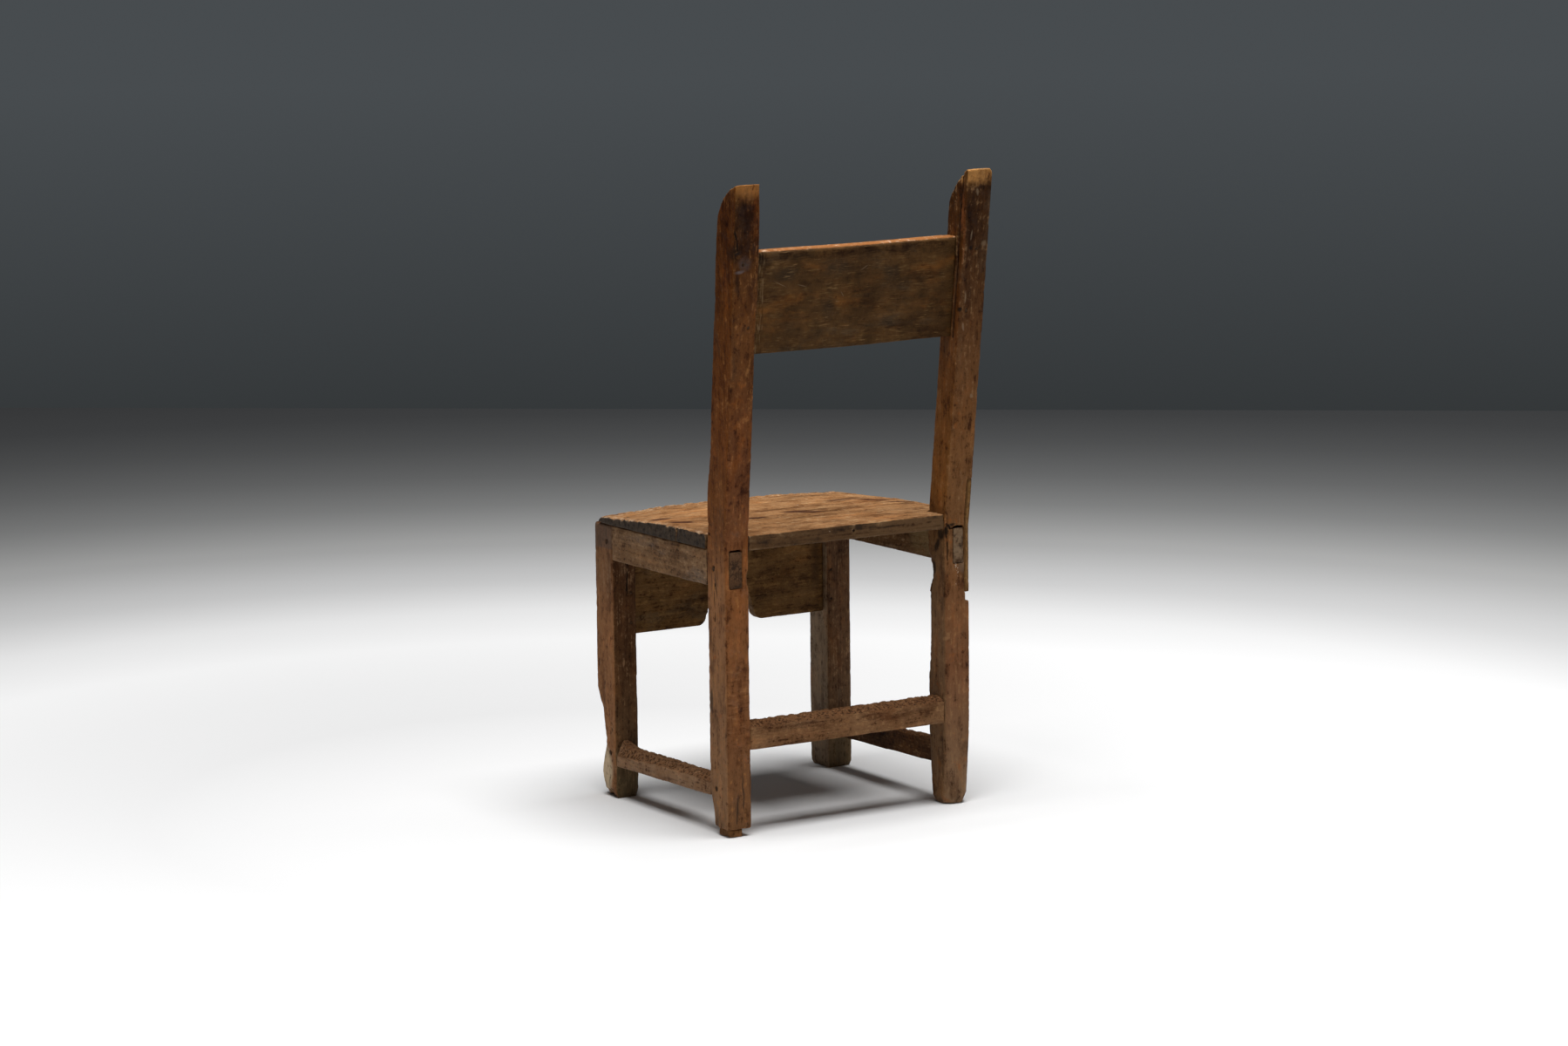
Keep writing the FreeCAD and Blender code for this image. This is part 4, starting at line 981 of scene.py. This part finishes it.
def dress_chair():
    """Makes the visible copy of every piece; the nails only take their iron."""
    left_mortise = ((164, 140, 338), (199, 160, 404))
    right_mortise = ((-198, 140, 338), (-165, 160, 404))
    strip_seat = ((-206, 130, 290), (-188, 151, 480))
    worn_piece("rear_post_left", "Z", left_post_finish(), chipped=0.6,
               waves=0.5, fibres=0.14, spare=(left_mortise,), damage=left_post_damage)
    worn_piece("rear_post_right", "Z", right_post_finish(), chipped=0.6,
               waves=0.5, fibres=0.14, spare=(right_mortise, strip_seat),
               damage=right_post_damage)
    leg_wood = leg_finish()
    worn_piece("front_leg_left", "Z", leg_wood, 1.15, chipped=0.6, waves=0.5,
               damage=left_leg_damage)
    worn_piece("front_leg_right", "Z", leg_wood, 1.15)
    worn_piece("back_panel", "X", panel_finish(), 1.15, chipped=0.25,
               waves=0.25, damage=panel_damage)
    seat_wood = seat_finish()
    for side, damage in (("front", front_board_damage), ("rear", rear_board_damage)):
        worn_piece("seat_board_" + side, "X", seat_wood, 1.08, fibres=0.4,
                   pits=0.25, damage=damage)
    rail_wood = rail_finish()
    for side, mortise in (("left", left_mortise), ("right", right_mortise)):
        worn_piece("side_rail_" + side, "Y", rail_wood, spare=(mortise,))
    worn_piece("front_apron", "X", apron_finish(), 1.2)
    for node, name, grain, pith, base, shaded in (
            ("rear_stretcher", "rear_stretcher_wood", "X", (100, 60),
             (0.234, 0.12, 0.054), (0.172, 0.08, 0.032)),
            ("side_stretcher_left", "left_stretcher_wood", "Y", (150, 20),
             (0.31, 0.185, 0.104), (0.23, 0.119, 0.057)),
            # Painted shade: the right stretcher's browns are darkened because its face that shows
            # is its inner one, in the shade under the chair.
            ("side_stretcher_right", "right_stretcher_wood_with_painted_shade", "Y", (-150, 20),
             (0.138, 0.058, 0.02), (0.086, 0.036, 0.013))):
        wood = stretcher_finish(name, grain, pith, base, shaded)
        worn_piece(node, grain, wood, 1.15, damage=stretcher_damage)
    strip_bed = ((-201.2, 120, 290), (-185, 170, 480))
    strip_front = ((-206, 120, 290), (-185, 148, 480))
    worn_piece("post_repair_strip", "Z", repair_finish(), 0.75,
               spare=(strip_bed, strip_front))
    worn_piece("rear_foot_block", "X", block_finish(), 0.75, waves=0.5)
    pegs = peg_finish()
    for node in ("rail_pegs", "stretcher_pegs", "apron_pegs", "panel_pegs"):
        worn_piece(node, "X", pegs, 0.6, worn=0.1, chipped=0.2, waves=0.2,
                   fibres=0.1, pits=0.1)
    iron = iron_finish()
    for node in ("foot_block_nail", "seat_nails"):
        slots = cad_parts[node].data.materials
        slots.clear()
        slots.append(iron)


# ------ camera, floor and light

def add_camera():
    """The camera stands where the photographer stood."""
    camera = add_object("camera", bpy.data.cameras.new("camera"))
    camera.data.lens = CAMERA_LENS
    camera.data.sensor_width = CAMERA_SENSOR
    camera.data.sensor_fit = "HORIZONTAL"
    turn = Matrix.Rotation(math.pi - CAMERA_YAW, 4, "Z")
    tilt = Matrix.Rotation(math.pi / 2 - CAMERA_PITCH, 4, "X")
    roll = Matrix.Rotation(CAMERA_ROLL, 4, "Z")
    camera.matrix_world = Matrix.Translation(CAMERA_PLACE) @ turn @ tilt @ roll
    bpy.context.scene.camera = camera


def floor_finish():
    """White round the chair for the camera, greying far away as a painted falloff of the light,
    with a painted glow of light in a ring round it; plain pale for its own light.
    """
    finish = Finish(bpy.data.materials.new("studio_floor"))
    aside = finish.vector("SUBTRACT", finish.place(), FLOOR_CENTRE)
    share = finish.length(aside) * (1 / FLOOR_REACH)
    # Painted falloff of the light: for the camera the floor is white round the chair and greys with
    # distance.
    camera_colour_with_painted_falloff = finish.ramp(share, [
        (0.47, (0.96, 0.96, 0.96)), (0.56, (0.9, 0.9, 0.89)),
        (0.66, (0.63, 0.635, 0.63)), (0.76, (0.475, 0.48, 0.48)),
        (0.88, (0.36, 0.366, 0.37)), (1, (0.29, 0.297, 0.305))])
    # Painted light: a glow seen only by the camera, in a ring round the chair, brightens the floor
    # where the lamp leaves it dim.
    painted_light_glow = finish.ramp(share, [
        (0.16, (0, 0, 0)), (0.23, (0.12, 0.12, 0.12)),
        (0.3, (0.26, 0.26, 0.26)), (0.37, (0.23, 0.23, 0.23)),
        (0.44, (0.09, 0.09, 0.09)), (0.54, (0, 0, 0))])
    path = finish.node("LightPath", output="Is Camera Ray")
    colour = finish.mixed(path, (0.84, 0.84, 0.84, 1), camera_colour_with_painted_falloff)
    shown = finish.mixed(path, (0, 0, 0, 1), painted_light_glow)
    shader = finish.node("BsdfPrincipled", {
        "Base Color": colour, "Roughness": 0.9, "Specular IOR Level": 0.1,
        "Emission Color": shown, "Emission Strength": 1})
    finish.node("OutputMaterial", {"Surface": shader})
    return finish.owner


def add_floor():
    """A wide square floor, its far edge nearly square to the view."""
    plane = bmesh.new()
    bmesh.ops.create_grid(plane, x_segments=2, y_segments=2, size=FLOOR_REACH,
                          matrix=Matrix.Rotation(FLOOR_TURN, 4, "Z"))
    mesh = bpy.data.meshes.new("floor")
    plane.to_mesh(mesh)
    plane.free()
    mesh.materials.append(floor_finish())
    add_object("floor", mesh)


def add_light():
    """One large soft lamp over the chair."""
    lamp = bpy.data.lights.new("overhead", "AREA")
    lamp.shape = "RECTANGLE"
    lamp.size, lamp.size_y = LAMP_SIZES
    lamp.energy = LAMP_POWER
    add_object("overhead", lamp).location = LAMP_PLACE


def add_world():
    """Even grey light, and a dark grey studio wall for the camera and for gloss."""
    studio = Finish(bpy.data.worlds.new("studio"))
    bpy.context.scene.world = studio.owner
    direction = studio.node("TexCoord", output="Generated")
    height = studio.node("MapRange", {
        "Value": studio.parts(direction)[2], "From Min": -0.13, "From Max": -0.05})
    wall = studio.ramp(height, [(0, (0.034, 0.038, 0.04)), (1, (0.064, 0.072, 0.078))])
    behind = studio.node("Background", {"Color": wall, "Strength": 1})
    light = studio.node("Background", {
        "Color": (0.97, 0.98, 1, 1), "Strength": WORLD_LIGHT})
    camera = studio.node("LightPath", output="Is Camera Ray")
    gloss = studio.node("LightPath", output="Is Glossy Ray")
    shown = studio.node("MixShader", {
        0: camera.maths("MAXIMUM", camera, gloss), 1: light, 2: behind})
    studio.node("OutputWorld", {"Surface": shown})


add_camera()
add_floor()
add_light()
add_world()
bpy.context.scene.view_settings.view_transform = "Standard"
dress_chair()
